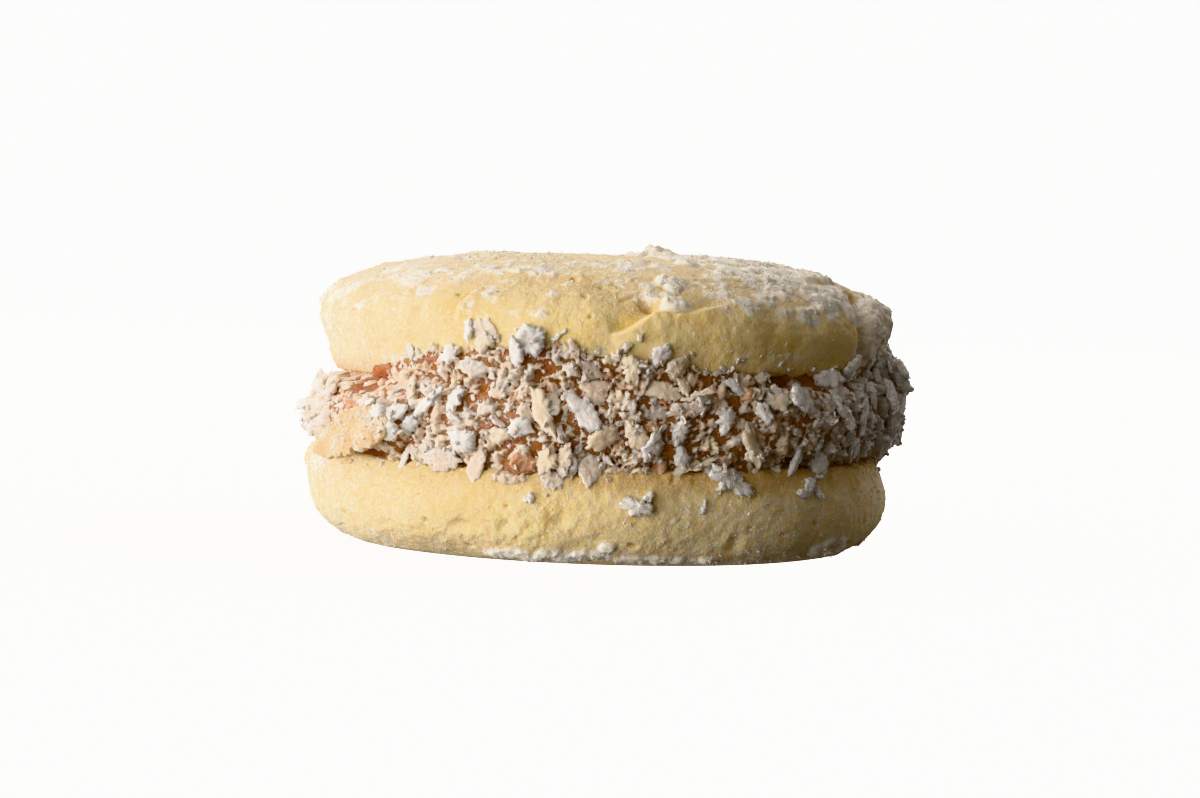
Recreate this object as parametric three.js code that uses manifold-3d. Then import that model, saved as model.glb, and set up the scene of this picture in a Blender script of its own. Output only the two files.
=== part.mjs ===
// An alfajor: two round cornflour biscuits with dulce de leche between them, its side rolled in grated coconut.
// Millimetres, +Z up. The origin is the middle of the flat spot that the alfajor rests on, and -Y is its front.
import * as THREE from "three";
import { mergeVertices } from "three/addons/utils/BufferGeometryUtils.js";
import Module from "manifold-3d";

const wasm = await Module();
wasm.setup();

// Driving dimensions.
const BISCUIT_RADIUS = 27.1;
const REST_RADIUS = 22; // the flat spot that the alfajor rests on
const LOWER_THICKNESS = 9.1;
const FILLING_THICKNESS = 7.5;
const UPPER_THICKNESS = 10.8;
const GAP = 0.3; // left free between solids that touch in the real thing

// The layers aren't quite parallel: their faces climb to the right, by this much for each millimetre.
const LOWER_SLOPE = 0.013;
const UPPER_SLOPE = 0.035;

// How finely the round pieces are cut.
const BISCUIT_SEGMENTS = 72;
const FILLING_SEGMENTS = 48;
const COAT_SEGMENTS = 72;
const CUTTER_SEGMENTS = 40;

// Heights that follow from the layers.
const LOWER_TOP = LOWER_THICKNESS;
const UPPER_BASE = LOWER_TOP + FILLING_THICKNESS;

// Azimuths in degrees, counted from +X towards +Y, so that the front is at -90.
const LEFT = 180;
const FRONT_LEFT = -107;
const RIGHT = -8;
const BACK = 80;

const { cos, sin, PI, abs, sign, hypot, atan2 } = Math;
const radians = THREE.MathUtils.degToRad;
const smooth = THREE.MathUtils.smoothstep;
const mix = THREE.MathUtils.lerp;

/** A smooth hill: 1 at t = 0, and gone where t is past 1 either way. */
function hill(t) {
  return abs(t) < 1 ? cos((t * PI) / 2) ** 2 : 0;
}

/** A hill round an azimuth, both in degrees, for a point whose own azimuth is in radians. */
function hillAround(azimuth, middle, halfWidth) {
  const away = THREE.MathUtils.euclideanModulo(azimuth - radians(middle) + PI, 2 * PI) - PI;
  return hill(away / radians(halfWidth));
}

/** The uneven outline that a cut and baked round takes: a few slow waves, each [turns, size, phase]. */
function waves(azimuth, list) {
  return list.reduce((sum, [turns, size, phase]) => sum + size * sin(turns * azimuth + phase), 0);
}

/** A round with straight sides: 1 at t = 0, 0 at t = 1, fuller than a quarter circle where power is over 2. */
function roundOff(t, power) {
  return (1 - abs(t) ** power) ** (1 / power);
}

/** Moves every vertex of a geometry by a function of its azimuth, radius and height. */
function reshape(geometry, move) {
  const position = geometry.getAttribute("position");
  for (let i = 0; i < position.count; i++) {
    const [x, y, z] = [position.getX(i), position.getY(i), position.getZ(i)];
    const point = { azimuth: atan2(y, x), radius: hypot(x, y), height: z };
    move(point);
    position.setXYZ(i, point.radius * cos(point.azimuth), point.radius * sin(point.azimuth), point.height);
  }
  return geometry;
}

/** A profile of [radius, height] turned round the Z axis. */
function turned(profile, segments) {
  const points = profile.map(([radius, height]) => new THREE.Vector2(radius, height));
  return new THREE.LatheGeometry(points, segments).rotateX(PI / 2);
}

function solidOf(geometry) {
  const bare = geometry.clone();
  bare.deleteAttribute("normal");
  bare.deleteAttribute("uv");
  const merged = mergeVertices(bare, 1e-4);
  const mesh = new wasm.Mesh({
    numProp: 3,
    vertProperties: merged.getAttribute("position").array,
    triVerts: new Uint32Array(merged.getIndex().array),
  });
  return new wasm.Manifold(mesh);
}

/** The geometry of a solid's largest body, without the crumbs that a cut can leave. */
function geometryOf(solid) {
  const [body] = solid.decompose().sort((a, b) => b.volume() - a.volume());
  const { vertProperties, triVerts } = body.getMesh();
  const geometry = new THREE.BufferGeometry();
  geometry.setAttribute("position", new THREE.BufferAttribute(vertProperties, 3));
  geometry.setIndex(new THREE.BufferAttribute(triVerts, 1));
  geometry.computeVertexNormals();
  return geometry;
}

/**
 * A biscuit's half section from the middle of its cut face, at height 0, to the middle of its crown.
 * grow moves the whole outline outwards, which gives the tool that keeps a neighbour clear.
 */
function biscuitSection({ thickness, cutRadius, shoulder, crownRadius, grow }) {
  const edge = 0.6; // the small round where the wall meets the cut face
  const wallSteps = 4;
  const shoulderSteps = 8;
  const wallTop = thickness - shoulder;
  const section = [
    [0, -grow],
    [cutRadius * 0.6, -grow],
    [cutRadius - edge, -grow],
  ];
  for (let i = 0; i < wallSteps; i++) {
    const rise = i / wallSteps;
    section.push([mix(cutRadius, BISCUIT_RADIUS, sin((rise * PI) / 2)) + grow, mix(edge, wallTop, rise)]);
  }
  for (let i = 0; i <= shoulderSteps; i++) {
    const turn = ((i / shoulderSteps) * PI) / 2;
    section.push([
      crownRadius + (BISCUIT_RADIUS + grow - crownRadius) * cos(turn),
      wallTop + (shoulder + grow) * sin(turn),
    ]);
  }
  section.push([crownRadius * 0.6, thickness + grow]);
  section.push([0, thickness + grow]);
  return section;
}

/** The lower biscuit lies upside down, its crown on the table, with a torn lip at the top of its left side. */
function lowerBiscuit({ segments = BISCUIT_SEGMENTS, grow = 0 } = {}) {
  const section = biscuitSection({
    thickness: LOWER_THICKNESS,
    cutRadius: 27,
    shoulder: 4.9,
    crownRadius: REST_RADIUS,
    grow,
  });
  const upsideDown = section.map(([radius, height]) => [radius, LOWER_TOP - height]).reverse();
  return reshape(turned(upsideDown, segments), (p) => {
    const outer = smooth(p.radius, REST_RADIUS, BISCUIT_RADIUS);
    const rise = p.height / LOWER_TOP;
    const swell = waves(p.azimuth, [
      [1, 0.25, -1.8],
      [2, 0.15, 0.4],
      [3, 0.2, 1.9],
      [5, 0.12, 0.2],
      [9, 0.08, 2.2],
      [14, 0.06, 0.9],
    ]);
    const belly = hill((rise - 0.55) / 0.5);
    const lip = hillAround(p.azimuth, LEFT + 10, 26) * hill((rise - 0.86) / 0.24);
    const pinch = hillAround(p.azimuth, RIGHT, 40) * hill((rise - 0.9) / 0.35);
    p.radius += outer * (swell * (0.4 + belly) + 0.35 * belly + 0.9 * lip - 0.3 * pinch);
    p.height += smooth(rise, 0.5, 1) * LOWER_SLOPE * p.radius * cos(p.azimuth);
  });
}

/** The upper biscuit: a soft shoulder, a flat crown, and the folds of its rough front. */
function upperBiscuit({ segments = BISCUIT_SEGMENTS, grow = 0 } = {}) {
  const crownRadius = 9;
  const section = biscuitSection({
    thickness: UPPER_THICKNESS,
    cutRadius: 26.1,
    shoulder: 6.4,
    crownRadius,
    grow,
  });
  return reshape(turned(section, segments), (p) => {
    const rise = p.height / UPPER_THICKNESS;
    const outer = smooth(p.radius, crownRadius, BISCUIT_RADIUS);
    const wall = smooth(p.radius, 0.7 * BISCUIT_RADIUS, 0.98 * BISCUIT_RADIUS);
    const swell = waves(p.azimuth, [
      [2, 0.12, 2.3],
      [3, 0.15, 0.5],
      [6, 0.12, 1.1],
      [10, 0.08, 0.3],
      [15, 0.05, 2],
    ]);
    const scoop = hillAround(p.azimuth, LEFT + 5, 60) * hill((rise - 0.2) / 0.36);
    // The fold runs down the front as it turns left, and a crease sets the right end apart.
    const fold = hillAround(p.azimuth, -83 - 9 * (0.68 - rise), 5.5) * hill((rise - 0.58) / 0.3);
    const foldLip = hillAround(p.azimuth, -77 - 12 * (0.6 - rise), 7) * hill((rise - 0.42) / 0.32);
    const crease = hillAround(p.azimuth, -21, 5.5) * hill((rise - 0.5) / 0.42);
    const knob = hillAround(p.azimuth, -12, 8) * hill((rise - 0.5) / 0.35);
    p.radius += outer * swell;
    p.radius += wall * (0.35 * foldLip + 0.3 * knob - 0.9 * scoop - 0.8 * fold - 0.9 * crease);
    p.height += outer * rise * waves(p.azimuth, [[4, 0.12, 0.7], [7, 0.1, 2.4]]);
    p.height += UPPER_BASE + (1 - smooth(rise, 0, 0.7)) * UPPER_SLOPE * p.radius * cos(p.azimuth);
  });
}

/** The filling runs right through between the biscuits and swells a little past the edges of their cut faces. */
function caramelFilling({ segments = FILLING_SEGMENTS, grow = 0 } = {}) {
  const bottom = LOWER_TOP + GAP - grow;
  const top = UPPER_BASE - GAP + grow;
  const steps = 6;
  const contact = 25.6;
  const swell = 1;
  const section = [[0, bottom]];
  for (let i = 0; i <= steps; i++) {
    const rise = i / steps;
    section.push([contact + grow + swell * sin(rise * PI), mix(bottom, top, rise)]);
  }
  section.push([0, top]);
  return reshape(turned(section, segments), (p) => {
    const rise = (p.height - bottom) / (top - bottom);
    p.height += mix(LOWER_SLOPE, UPPER_SLOPE, rise) * p.radius * cos(p.azimuth);
    p.radius += (p.radius / contact) * waves(p.azimuth, [[2, 0.12, 1.1], [5, 0.12, 0.4], [8, 0.08, 2.1]]);
  });
}

/** The coconut that clings to the filling: a lumpy band which climbs the upper biscuit where filling has oozed. */
function coconutBand() {
  const middleRadius = 27.2;
  const halfDepth = 1.35;
  const bottom = LOWER_TOP - 0.3;
  const top = UPPER_BASE + 0.4;
  const steps = 12;
  const fullness = 2.8;
  const section = [];
  for (let i = 0; i < steps; i++) {
    const turn = (-i / steps) * 2 * PI;
    const inwards = sign(cos(turn)) * abs(cos(turn)) ** (2 / fullness);
    const upwards = sign(sin(turn)) * abs(sin(turn)) ** (2 / fullness);
    section.push([
      middleRadius - halfDepth * inwards,
      (bottom + top) / 2 + (upwards * (top - bottom)) / 2,
    ]);
  }
  section.push(section[0]);
  return reshape(turned(section, COAT_SEGMENTS), (p) => {
    const rise = (p.height - bottom) / (top - bottom);
    const outside = smooth(p.radius, middleRadius - halfDepth, middleRadius + halfDepth);
    const climb =
      3.1 * hillAround(p.azimuth, FRONT_LEFT, 55) +
      1.6 * hillAround(p.azimuth, RIGHT, 24) +
      1.4 * hillAround(p.azimuth, BACK, 50) -
      0.9 * hillAround(p.azimuth, LEFT, 38);
    const ragged = waves(p.azimuth, [[5, 0.15, 0.6], [11, 0.2, 1.9], [17, 0.15, 0.4]]);
    const droop = 1.1 * hillAround(p.azimuth, FRONT_LEFT, 24) + 0.5 * hillAround(p.azimuth, BACK, 40);
    p.height += smooth(rise, 0.4, 1) * (climb + ragged) - (1 - smooth(rise, 0, 0.5)) * (droop + ragged);
    p.height += mix(LOWER_SLOPE, UPPER_SLOPE, rise) * p.radius * cos(p.azimuth);
    // Clumps of flakes: waves that run across each other, round the band and up it.
    const clumps =
      0.36 * sin(11 * p.azimuth + 2.1 * sin(3 * p.azimuth) + 0.5 * p.height) +
      0.32 * sin(19 * p.azimuth - 1.1 * p.height) +
      0.26 * sin(29 * p.azimuth + 1.9 * p.height);
    const bulge = 1.2 * hillAround(p.azimuth, RIGHT, 34) * hill((rise - 0.42) / 0.6);
    const thin = 0.4 * hillAround(p.azimuth, LEFT, 50);
    p.radius += outside * (clumps * hill((rise - 0.5) / 0.8) + bulge - thin);
    // Where it climbs, it lies on the upper biscuit's side, which stands further out.
    p.radius += 0.8 * smooth(p.height, UPPER_BASE, UPPER_BASE + 3.5);
  });
}

/** A strip of the lower biscuit's crust, torn loose, that climbs over the coconut at the front left. */
function crustChip({ grow = 0 } = {}) {
  const [from, to] = [radians(-163), radians(-130)];
  const innerRadius = 28.3;
  const thickness = 0.9;
  const width = 4;
  const strip = new THREE.BoxGeometry(1, 1, 1, 16, 4, 1);
  const position = strip.getAttribute("position");
  for (let i = 0; i < position.count; i++) {
    const along = position.getX(i) + 0.5;
    const across = position.getY(i);
    const outwards = position.getZ(i);
    const middle = mix(LOWER_TOP - 0.7, LOWER_TOP + 2.9, along ** 0.85);
    const ragged = 0.18 * sin(19 * along) + 0.1 * sin(43 * along);
    const wide = width * mix(0.25, 1, smooth(along, 0, 0.6)) * roundOff(smooth(along, 0.6, 1.04), 2.4);
    const azimuth = mix(from, to, along) + (grow * (2 * along - 1)) / innerRadius;
    const curl = 0.5 * along ** 2 - 0.9 * across ** 2;
    const radius = innerRadius + (outwards + 0.5) * thickness + 2 * grow * outwards + curl;
    const height = middle + across * (wide + 2 * grow) + (across < 0 ? ragged : 0.5 * ragged);
    position.setXYZ(i, radius * cos(azimuth), radius * sin(azimuth), height);
  }
  return strip;
}

/** A solid, cut clear of the neighbours that it lies against. */
function clearOf(geometry, neighbours) {
  return geometryOf(neighbours.reduce((solid, tool) => solid.subtract(solidOf(tool)), solidOf(geometry)));
}

function food(name, geometry, color, roughness) {
  const mesh = new THREE.Mesh(geometry, new THREE.MeshStandardMaterial({ color, roughness, metalness: 0 }));
  mesh.name = name;
  return mesh;
}

const cutter = { segments: CUTTER_SEGMENTS, grow: GAP };
const chip = clearOf(crustChip(), [lowerBiscuit(cutter)]);
const coat = clearOf(coconutBand(), [
  lowerBiscuit(cutter),
  upperBiscuit(cutter),
  caramelFilling(cutter),
  crustChip({ grow: GAP }),
]);

const alfajor = new THREE.Group();
alfajor.add(
  food("lower_biscuit", lowerBiscuit(), 0xe8cf92, 0.85),
  food("caramel_filling", caramelFilling(), 0x9a5420, 0.35),
  food("coconut_coat", coat, 0xe6dccb, 0.8),
  food("crust_chip", chip, 0xe3c48f, 0.85),
  food("upper_biscuit", upperBiscuit(), 0xead29a, 0.85),
);

export default alfajor;
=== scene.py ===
"""The looks of an alfajor: pale cornflour biscuits, milk caramel between them and grated coconut round it.

Shapes are worked out in millimetres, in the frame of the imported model, and become metres when a mesh is made.
"""

import math

import bpy
import numpy as np
from mathutils import Matrix, Vector
from mathutils.bvhtree import BVHTree


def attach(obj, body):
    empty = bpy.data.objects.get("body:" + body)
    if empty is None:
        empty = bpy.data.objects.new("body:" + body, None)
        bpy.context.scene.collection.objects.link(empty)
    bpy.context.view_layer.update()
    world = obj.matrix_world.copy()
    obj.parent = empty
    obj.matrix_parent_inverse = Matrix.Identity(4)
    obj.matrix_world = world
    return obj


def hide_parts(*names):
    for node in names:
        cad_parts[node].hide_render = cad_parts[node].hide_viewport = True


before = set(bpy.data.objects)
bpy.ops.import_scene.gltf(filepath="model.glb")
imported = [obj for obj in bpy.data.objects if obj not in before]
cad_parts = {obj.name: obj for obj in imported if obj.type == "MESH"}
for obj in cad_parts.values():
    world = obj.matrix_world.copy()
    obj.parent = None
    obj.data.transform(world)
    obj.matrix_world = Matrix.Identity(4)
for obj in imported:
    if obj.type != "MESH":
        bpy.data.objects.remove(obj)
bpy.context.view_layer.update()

MM = 0.001

# The camera, as it stood for the picture: its frame in pixels, and how large the alfajor showed.
FRAME_WIDTH = 1200
FRAME_HEIGHT = 798
PIXELS_PER_MM = 10.45
CAMERA_DISTANCE = 330.0
CAMERA_ELEVATION = math.radians(2.9)
CAMERA_ROLL = math.radians(2.0)
AIM = np.array([0.0, 0.0, 13.75])
SENSOR_WIDTH = 36.0

# Azimuths in degrees, from +X towards +Y: the camera is in front, and +X is to its right.
FRONT = -90.0
LEFT = 180.0

# Where the layers meet, in millimetres.
LOWER_TOP = 9.1
UPPER_BASE = 16.6

# How far out the filling's wall and the strip of crust lie, what at least counts as the side, and what lies
# outside everything, in millimetres.
FILLING_RADIUS = 27.0
STRIP_RADIUS = 29.3
LEAST_RADIUS = 20.0
OUTSIDE_RADIUS = 40.0


# ---------------------------------------------------------------- numbers


def smoothstep(x, low, high):
    t = np.clip((np.asarray(x, float) - low) / (high - low), 0, 1)
    return t * t * (3 - 2 * t)


def mix(a, b, share):
    return a + (b - a) * share


def hill(t):
    """1 at t = 0, falling smoothly to 0 at t = -1 and t = 1."""
    return np.where(np.abs(t) < 1, np.cos(np.clip(t, -1, 1) * np.pi / 2) ** 2, 0.0)


def hill_around(azimuth, middle, half_width):
    return hill(((azimuth - middle + 180) % 360 - 180) / half_width)


def in_front(azimuth):
    """1 at the front, falling to 0 a little behind both ends of what the camera sees."""
    return hill_around(azimuth, FRONT, 110)


def azimuth_of(points):
    return np.degrees(np.arctan2(points[..., 1], points[..., 0]))


def outwards_at(azimuth):
    angle = np.radians(azimuth)
    return np.stack([np.cos(angle), np.sin(angle), np.zeros_like(angle)], -1)


def around(azimuth, radius, height):
    """Points from their azimuth, radius and height."""
    angle = np.radians(azimuth)
    return np.stack(np.broadcast_arrays(radius * np.cos(angle), radius * np.sin(angle), height), -1)


def unit(vectors):
    return vectors / np.maximum(np.linalg.norm(vectors, axis=-1, keepdims=True), 1e-12)


def blurred_round(values, axis=1):
    """Values on a closed ring, each mixed with the two next to it."""
    return 0.5 * values + 0.25 * (np.roll(values, 1, axis) + np.roll(values, -1, axis))


# Multipliers and shifts of well-known hash functions.
LATTICE_PRIMES = np.array([73856093, 19349663, 83492791], np.uint64)
SEED_PRIME = 2654435761
HASH_ROUNDS = ((16, 0x7FEB352D), (15, 0x846CA68B))
LOW_32_BITS = np.uint64(0xFFFFFFFF)
LOW_8_BITS = np.uint64(255)


def lattice_random(cells, seed):
    """A random whole number below 2**32 for each cell of a lattice."""
    parts = cells.astype(np.int64).astype(np.uint64) * LATTICE_PRIMES
    number = parts[..., 0] ^ parts[..., 1] ^ parts[..., 2]
    number = (number ^ np.uint64(seed * SEED_PRIME % 2**32)) & LOW_32_BITS
    for shift, factor in HASH_ROUNDS:
        number = number ^ number >> np.uint64(shift)
        number = number * np.uint64(factor) & LOW_32_BITS
    return number ^ number >> np.uint64(16)


GRADIENTS = unit(np.random.default_rng(1).normal(size=(256, 3)))
# What brings the noise to about -1 to 1.
NOISE_GAIN = 1.7


def noise(points, size, seed):
    """Smooth noise of about -1 to 1, with features of the given size."""
    scaled = points / size
    corner = np.floor(scaled)
    within = scaled - corner
    fade = within**3 * (within * (within * 6 - 15) + 10)
    total = np.zeros(points.shape[:-1])
    for step in np.ndindex(2, 2, 2):
        pick = (lattice_random(corner + step, seed) & LOW_8_BITS).astype(np.int64)
        weight = np.prod(np.where(step, fade, 1 - fade), axis=-1)
        total += weight * np.einsum("...i,...i", GRADIENTS[pick], within - step)
    return total * NOISE_GAIN


def fractal(points, size, octaves, seed):
    """Noise with finer noise on it, each octave half the size and half as strong."""
    return sum(0.5**i * noise(points, size / 2**i, seed + 31 * i) for i in range(octaves))


def dimples(points, spacing, radius, share, seed):
    """0 to 1: round pits of up to that radius, one to a cell of that spacing, in that share of the cells."""
    scaled = points / spacing
    cell = np.floor(scaled)
    depth = np.zeros(points.shape[:-1])
    for step in np.ndindex(3, 3, 3):
        here = cell + step - 1
        number = lattice_random(here, seed)
        jitter = np.stack([(number >> np.uint64(bits) & LOW_8_BITS) / 255 for bits in (0, 8, 16)], -1)
        kind = (number >> np.uint64(24)) / 255
        reach = radius * (0.5 + 0.5 * kind / share)
        away = np.linalg.norm(scaled - here - jitter, axis=-1) * spacing / reach
        depth = np.maximum(depth, np.where(kind < share, np.clip(1 - away**2, 0, 1) ** 1.5, 0))
    return depth


# ---------------------------------------------------------------- the camera's rays


def camera_axes():
    """Unit vectors to the camera's right, up and forwards."""
    forwards = np.array([0.0, math.cos(CAMERA_ELEVATION), -math.sin(CAMERA_ELEVATION)])
    level_up = np.array([0.0, math.sin(CAMERA_ELEVATION), math.cos(CAMERA_ELEVATION)])
    level_right = np.array([1.0, 0.0, 0.0])
    right = math.cos(CAMERA_ROLL) * level_right + math.sin(CAMERA_ROLL) * level_up
    up = math.cos(CAMERA_ROLL) * level_up - math.sin(CAMERA_ROLL) * level_right
    return right, up, forwards


CAMERA_RIGHT, CAMERA_UP, CAMERA_FORWARDS = camera_axes()
CAMERA_PLACE = AIM - CAMERA_DISTANCE * CAMERA_FORWARDS


def ray_through(pixel):
    """The direction from the camera through a pixel of the frame."""
    x = (pixel[0] - FRAME_WIDTH / 2) / PIXELS_PER_MM
    y = (FRAME_HEIGHT / 2 - pixel[1]) / PIXELS_PER_MM
    return unit(CAMERA_DISTANCE * CAMERA_FORWARDS + x * CAMERA_RIGHT + y * CAMERA_UP)


def on_cylinder(pixel, radius=28.5):
    """Azimuth and height where a pixel's ray first meets an upright cylinder round the axis."""
    ray = ray_through(pixel)
    level = ray[:2] @ ray[:2]
    half = CAMERA_PLACE[:2] @ ray[:2] / level
    reach = half**2 - (CAMERA_PLACE[:2] @ CAMERA_PLACE[:2] - radius**2) / level
    place = CAMERA_PLACE + ray * (-half - math.sqrt(max(reach, 0.0)))
    return float(azimuth_of(place)), float(place[2])


# ---------------------------------------------------------------- surfaces


class Surface:
    """Triangles to cast rays at, in millimetres."""

    def __init__(self, points, faces):
        self.tree = BVHTree.FromPolygons([Vector(p) for p in points], [tuple(map(int, f)) for f in faces])

    def hit(self, origin, direction):
        """Where a ray lands, or None."""
        point, _, _, _ = self.tree.ray_cast(Vector(origin), Vector(direction))
        return None if point is None else np.array(point)

    def radius_at(self, azimuth, height):
        """How far out the surface reaches at an azimuth and a height, or 0 where it isn't."""
        outwards = outwards_at(azimuth)
        point = self.hit(outwards * OUTSIDE_RADIUS + np.array([0, 0, height]), -outwards)
        if point is None or point[:2] @ outwards[:2] < 0:
            return 0.0
        return float(np.hypot(point[0], point[1]))


def node_surface(name):
    """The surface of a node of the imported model."""
    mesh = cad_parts[name].data
    points = np.empty(len(mesh.vertices) * 3)
    mesh.vertices.foreach_get("co", points)
    return Surface(points.reshape(-1, 3) / MM, [p.vertices for p in mesh.polygons])


class Skin:
    """A closed round skin: a grid of points, rings by columns, between a pole underneath and one on top."""

    # How much of the bake's map is left for the triangles at each pole.
    POLE_SHARE = 0.01

    def __init__(self, grid):
        self.grid = grid

    def normals(self):
        across = np.roll(self.grid, -1, 1) - np.roll(self.grid, 1, 1)
        along = np.gradient(self.grid, axis=0)
        return unit(np.cross(across, along))

    def push(self, heights):
        """Moves every point out along its normal."""
        self.grid = self.grid + heights[..., None] * self.normals()

    def points(self):
        poles = self.grid[[0, -1]].mean(1)
        return np.concatenate([self.grid.reshape(-1, 3), poles])

    def faces(self):
        rings, columns = self.grid.shape[:2]
        index = np.arange(rings * columns).reshape(rings, columns)
        after = np.roll(index, -1, 1)
        quads = np.stack([index[:-1], after[:-1], after[1:], index[1:]], -1).reshape(-1, 4)
        low_pole = np.full(columns, rings * columns)
        under = np.stack([after[0], index[0], low_pole], -1)
        over = np.stack([index[-1], after[-1], low_pole + 1], -1)
        return [quads, np.concatenate([under, over])]

    def bake_map(self):
        """A place on the bake's map for each corner of each face, in the order of faces()."""
        columns = self.grid.shape[1]
        step = np.linalg.norm(np.diff(self.grid, axis=0), axis=-1).mean(1)
        v = np.concatenate([[0.0], np.cumsum(step)])
        v = self.POLE_SHARE + (1 - 2 * self.POLE_SHARE) * v / v[-1]
        u = np.arange(columns + 1) / columns
        u0, v0 = np.meshgrid(u[:-1], v[:-1])
        u1, v1 = np.meshgrid(u[1:], v[1:])
        quads = np.stack([u0, v0, u1, v0, u1, v1, u0, v1], -1).reshape(-1, 2)
        middle = (u[:-1] + u[1:]) / 2
        low, high, zero, one = (np.full(columns, x) for x in (v[0], v[-1], 0.0, 1.0))
        under = np.stack([u[1:], low, u[:-1], low, middle, zero], -1).reshape(-1, 2)
        over = np.stack([u[:-1], high, u[1:], high, middle, one], -1).reshape(-1, 2)
        return np.concatenate([quads, under, over])

    def surface(self, coarser=2):
        """A lighter copy of the skin, to cast rays at."""
        light = Skin(self.grid[::coarser, ::coarser])
        return Surface(light.points(), [f for block in light.faces() for f in block])


def columns_dense_in_front(count, squeeze=0.42):
    """Azimuths, closer together on the side that the camera sees."""
    turn = 2 * math.pi * (np.arange(count) / count - 0.5)
    return FRONT + np.degrees(turn + squeeze * np.sin(turn + math.pi))


# The radius of a biscuit's ring next to its pole.
INNERMOST_RADIUS = 0.4


def half_section(core_radius, under_rings, rim_angles, top_rings):
    """Rays from inside a round piece to its skin, from underneath to the top: [radius, outwards, upwards]."""
    under = [[r, 0, -1] for r in np.linspace(INNERMOST_RADIUS, core_radius, under_rings, endpoint=False)]
    rim = [[core_radius, math.cos(t), math.sin(t)] for t in np.radians(rim_angles)]
    top = [[r, 0, 1] for r in np.linspace(INNERMOST_RADIUS, core_radius, top_rings, endpoint=False)[::-1]]
    return np.array(under + rim + top)


def node_skin(name, middle, rays, columns, soften):
    """A node's surface as a fine grid, with the flat facets smoothed away, most where soften is 1."""
    surface = node_surface(name)
    known = np.arange(0, 360, 2.0)
    reach = np.empty((len(rays), len(known)))
    for j, azimuth in enumerate(known):
        out = outwards_at(azimuth)
        for i, (radius, outwards, upwards) in enumerate(rays):
            origin = out * radius + np.array([0, 0, middle])
            direction = out * outwards + np.array([0, 0, upwards])
            reach[i, j] = np.linalg.norm(surface.hit(origin, direction) - origin)
    for _ in range(14):
        reach = blurred_round(reach)
    for _ in range(40):
        reach[1:-1] += 0.25 * soften[1:-1, None] * (reach[2:] - 2 * reach[1:-1] + reach[:-2])
    azimuths = columns_dense_in_front(columns)
    reach = np.stack([np.interp(azimuths % 360, known, row, period=360) for row in reach])
    return Skin(around(azimuths, rays[:, :1] + reach * rays[:, 1:2], middle + reach * rays[:, 2:3]))


# ---------------------------------------------------------------- meshes


def make_mesh(name, points, faces, values, bake_map, smooth):
    """A mesh, from points in millimetres, blocks of faces alike in their number of corners, values for the
    points by attribute, and a place on the bake's map for each corner."""
    mesh = bpy.data.meshes.new(name)
    loops = np.concatenate([block.ravel() for block in faces])
    counts = np.concatenate([np.full(len(block), block.shape[1]) for block in faces])
    mesh.vertices.add(len(points))
    mesh.vertices.foreach_set("co", (points * MM).astype(np.float32).ravel())
    mesh.loops.add(len(loops))
    mesh.loops.foreach_set("vertex_index", loops.astype(np.int32))
    mesh.polygons.add(len(counts))
    mesh.polygons.foreach_set("loop_start", (np.cumsum(counts) - counts).astype(np.int32))
    mesh.polygons.foreach_set("use_smooth", np.full(len(counts), smooth))
    layer = mesh.uv_layers.new(name="OFBake")
    layer.uv.foreach_set("vector", bake_map.astype(np.float32).ravel())
    for key, numbers in values.items():
        attribute = mesh.attributes.new(key, "FLOAT", "POINT")
        attribute.data.foreach_set("value", np.asarray(numbers, np.float32).ravel())
    mesh.update()
    mesh.validate()
    return mesh


def make_piece(name, points, faces, values, bake_map, material, replaced=(), smooth=True):
    """A piece of the alfajor, from what makes its mesh, and the nodes that it replaces."""
    mesh = make_mesh(name, points, faces, values, bake_map, smooth)
    mesh.materials.append(material)
    piece = bpy.data.objects.new(name, mesh)
    bpy.context.scene.collection.objects.link(piece)
    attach(piece, "root")
    if replaced:
        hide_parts(*replaced)


def make_skin_piece(node, skin, values, material):
    """A skin as the piece that stands for a node, with values for each of its points by attribute."""
    values = {key: np.concatenate([v.ravel(), v[0, :1], v[-1, :1]]) for key, v in values.items()}
    points, faces, bake_map = skin.points(), skin.faces(), skin.bake_map()
    make_piece(node + "_skin", points, faces, values, bake_map, material, [node])


# ---------------------------------------------------------------- the biscuits


def stroke_on(surface, pixels):
    """A polyline on a surface, from the pixels that it shows at."""
    found = [surface.hit(CAMERA_PLACE, ray_through(p)) for p in pixels]
    return np.array([point for point in found if point is not None])


def stroke_distance(points, stroke):
    """Distance to a polyline, how far along it that is (0 to 1), and 1 on its right side, -1 on its left."""
    best = np.full(points.shape[:-1], 1e9)
    along = np.zeros(points.shape[:-1])
    side = np.zeros(points.shape[:-1])
    lengths = np.linalg.norm(np.diff(stroke, axis=0), axis=1)
    done = 0.0
    for start, end, length in zip(stroke[:-1], stroke[1:], lengths):
        direction = (end - start) / length
        reached = np.clip((points - start) @ direction, 0, length)
        away = points - start - reached[..., None] * direction
        distance = np.linalg.norm(away, axis=-1)
        nearer = distance < best
        right = np.cross(direction, unit(start * np.array([1, 1, 0])))
        best = np.where(nearer, distance, best)
        along = np.where(nearer, (done + reached) / lengths.sum(), along)
        side = np.where(nearer, np.sign(away @ right), side)
        done += length
    return best, along, side


def lobe_edge(points, stroke, rise, dip, reach):
    """The relief of a lobe of dough that ends along a stroke: swollen on its right side, sunk on its left."""
    distance, along, side = stroke_distance(points, stroke)
    taper = np.clip(5 * along * (1 - along), 0, 1) ** 0.5
    lean = side * distance
    raised = rise * np.exp(-((distance / reach) ** 2)) * smoothstep(lean, -0.3, 0.35)
    sunk = dip * np.exp(-((distance / (0.7 * reach)) ** 2)) * smoothstep(-lean, -0.3, 0.35)
    return taper * (raised - sunk)


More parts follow.
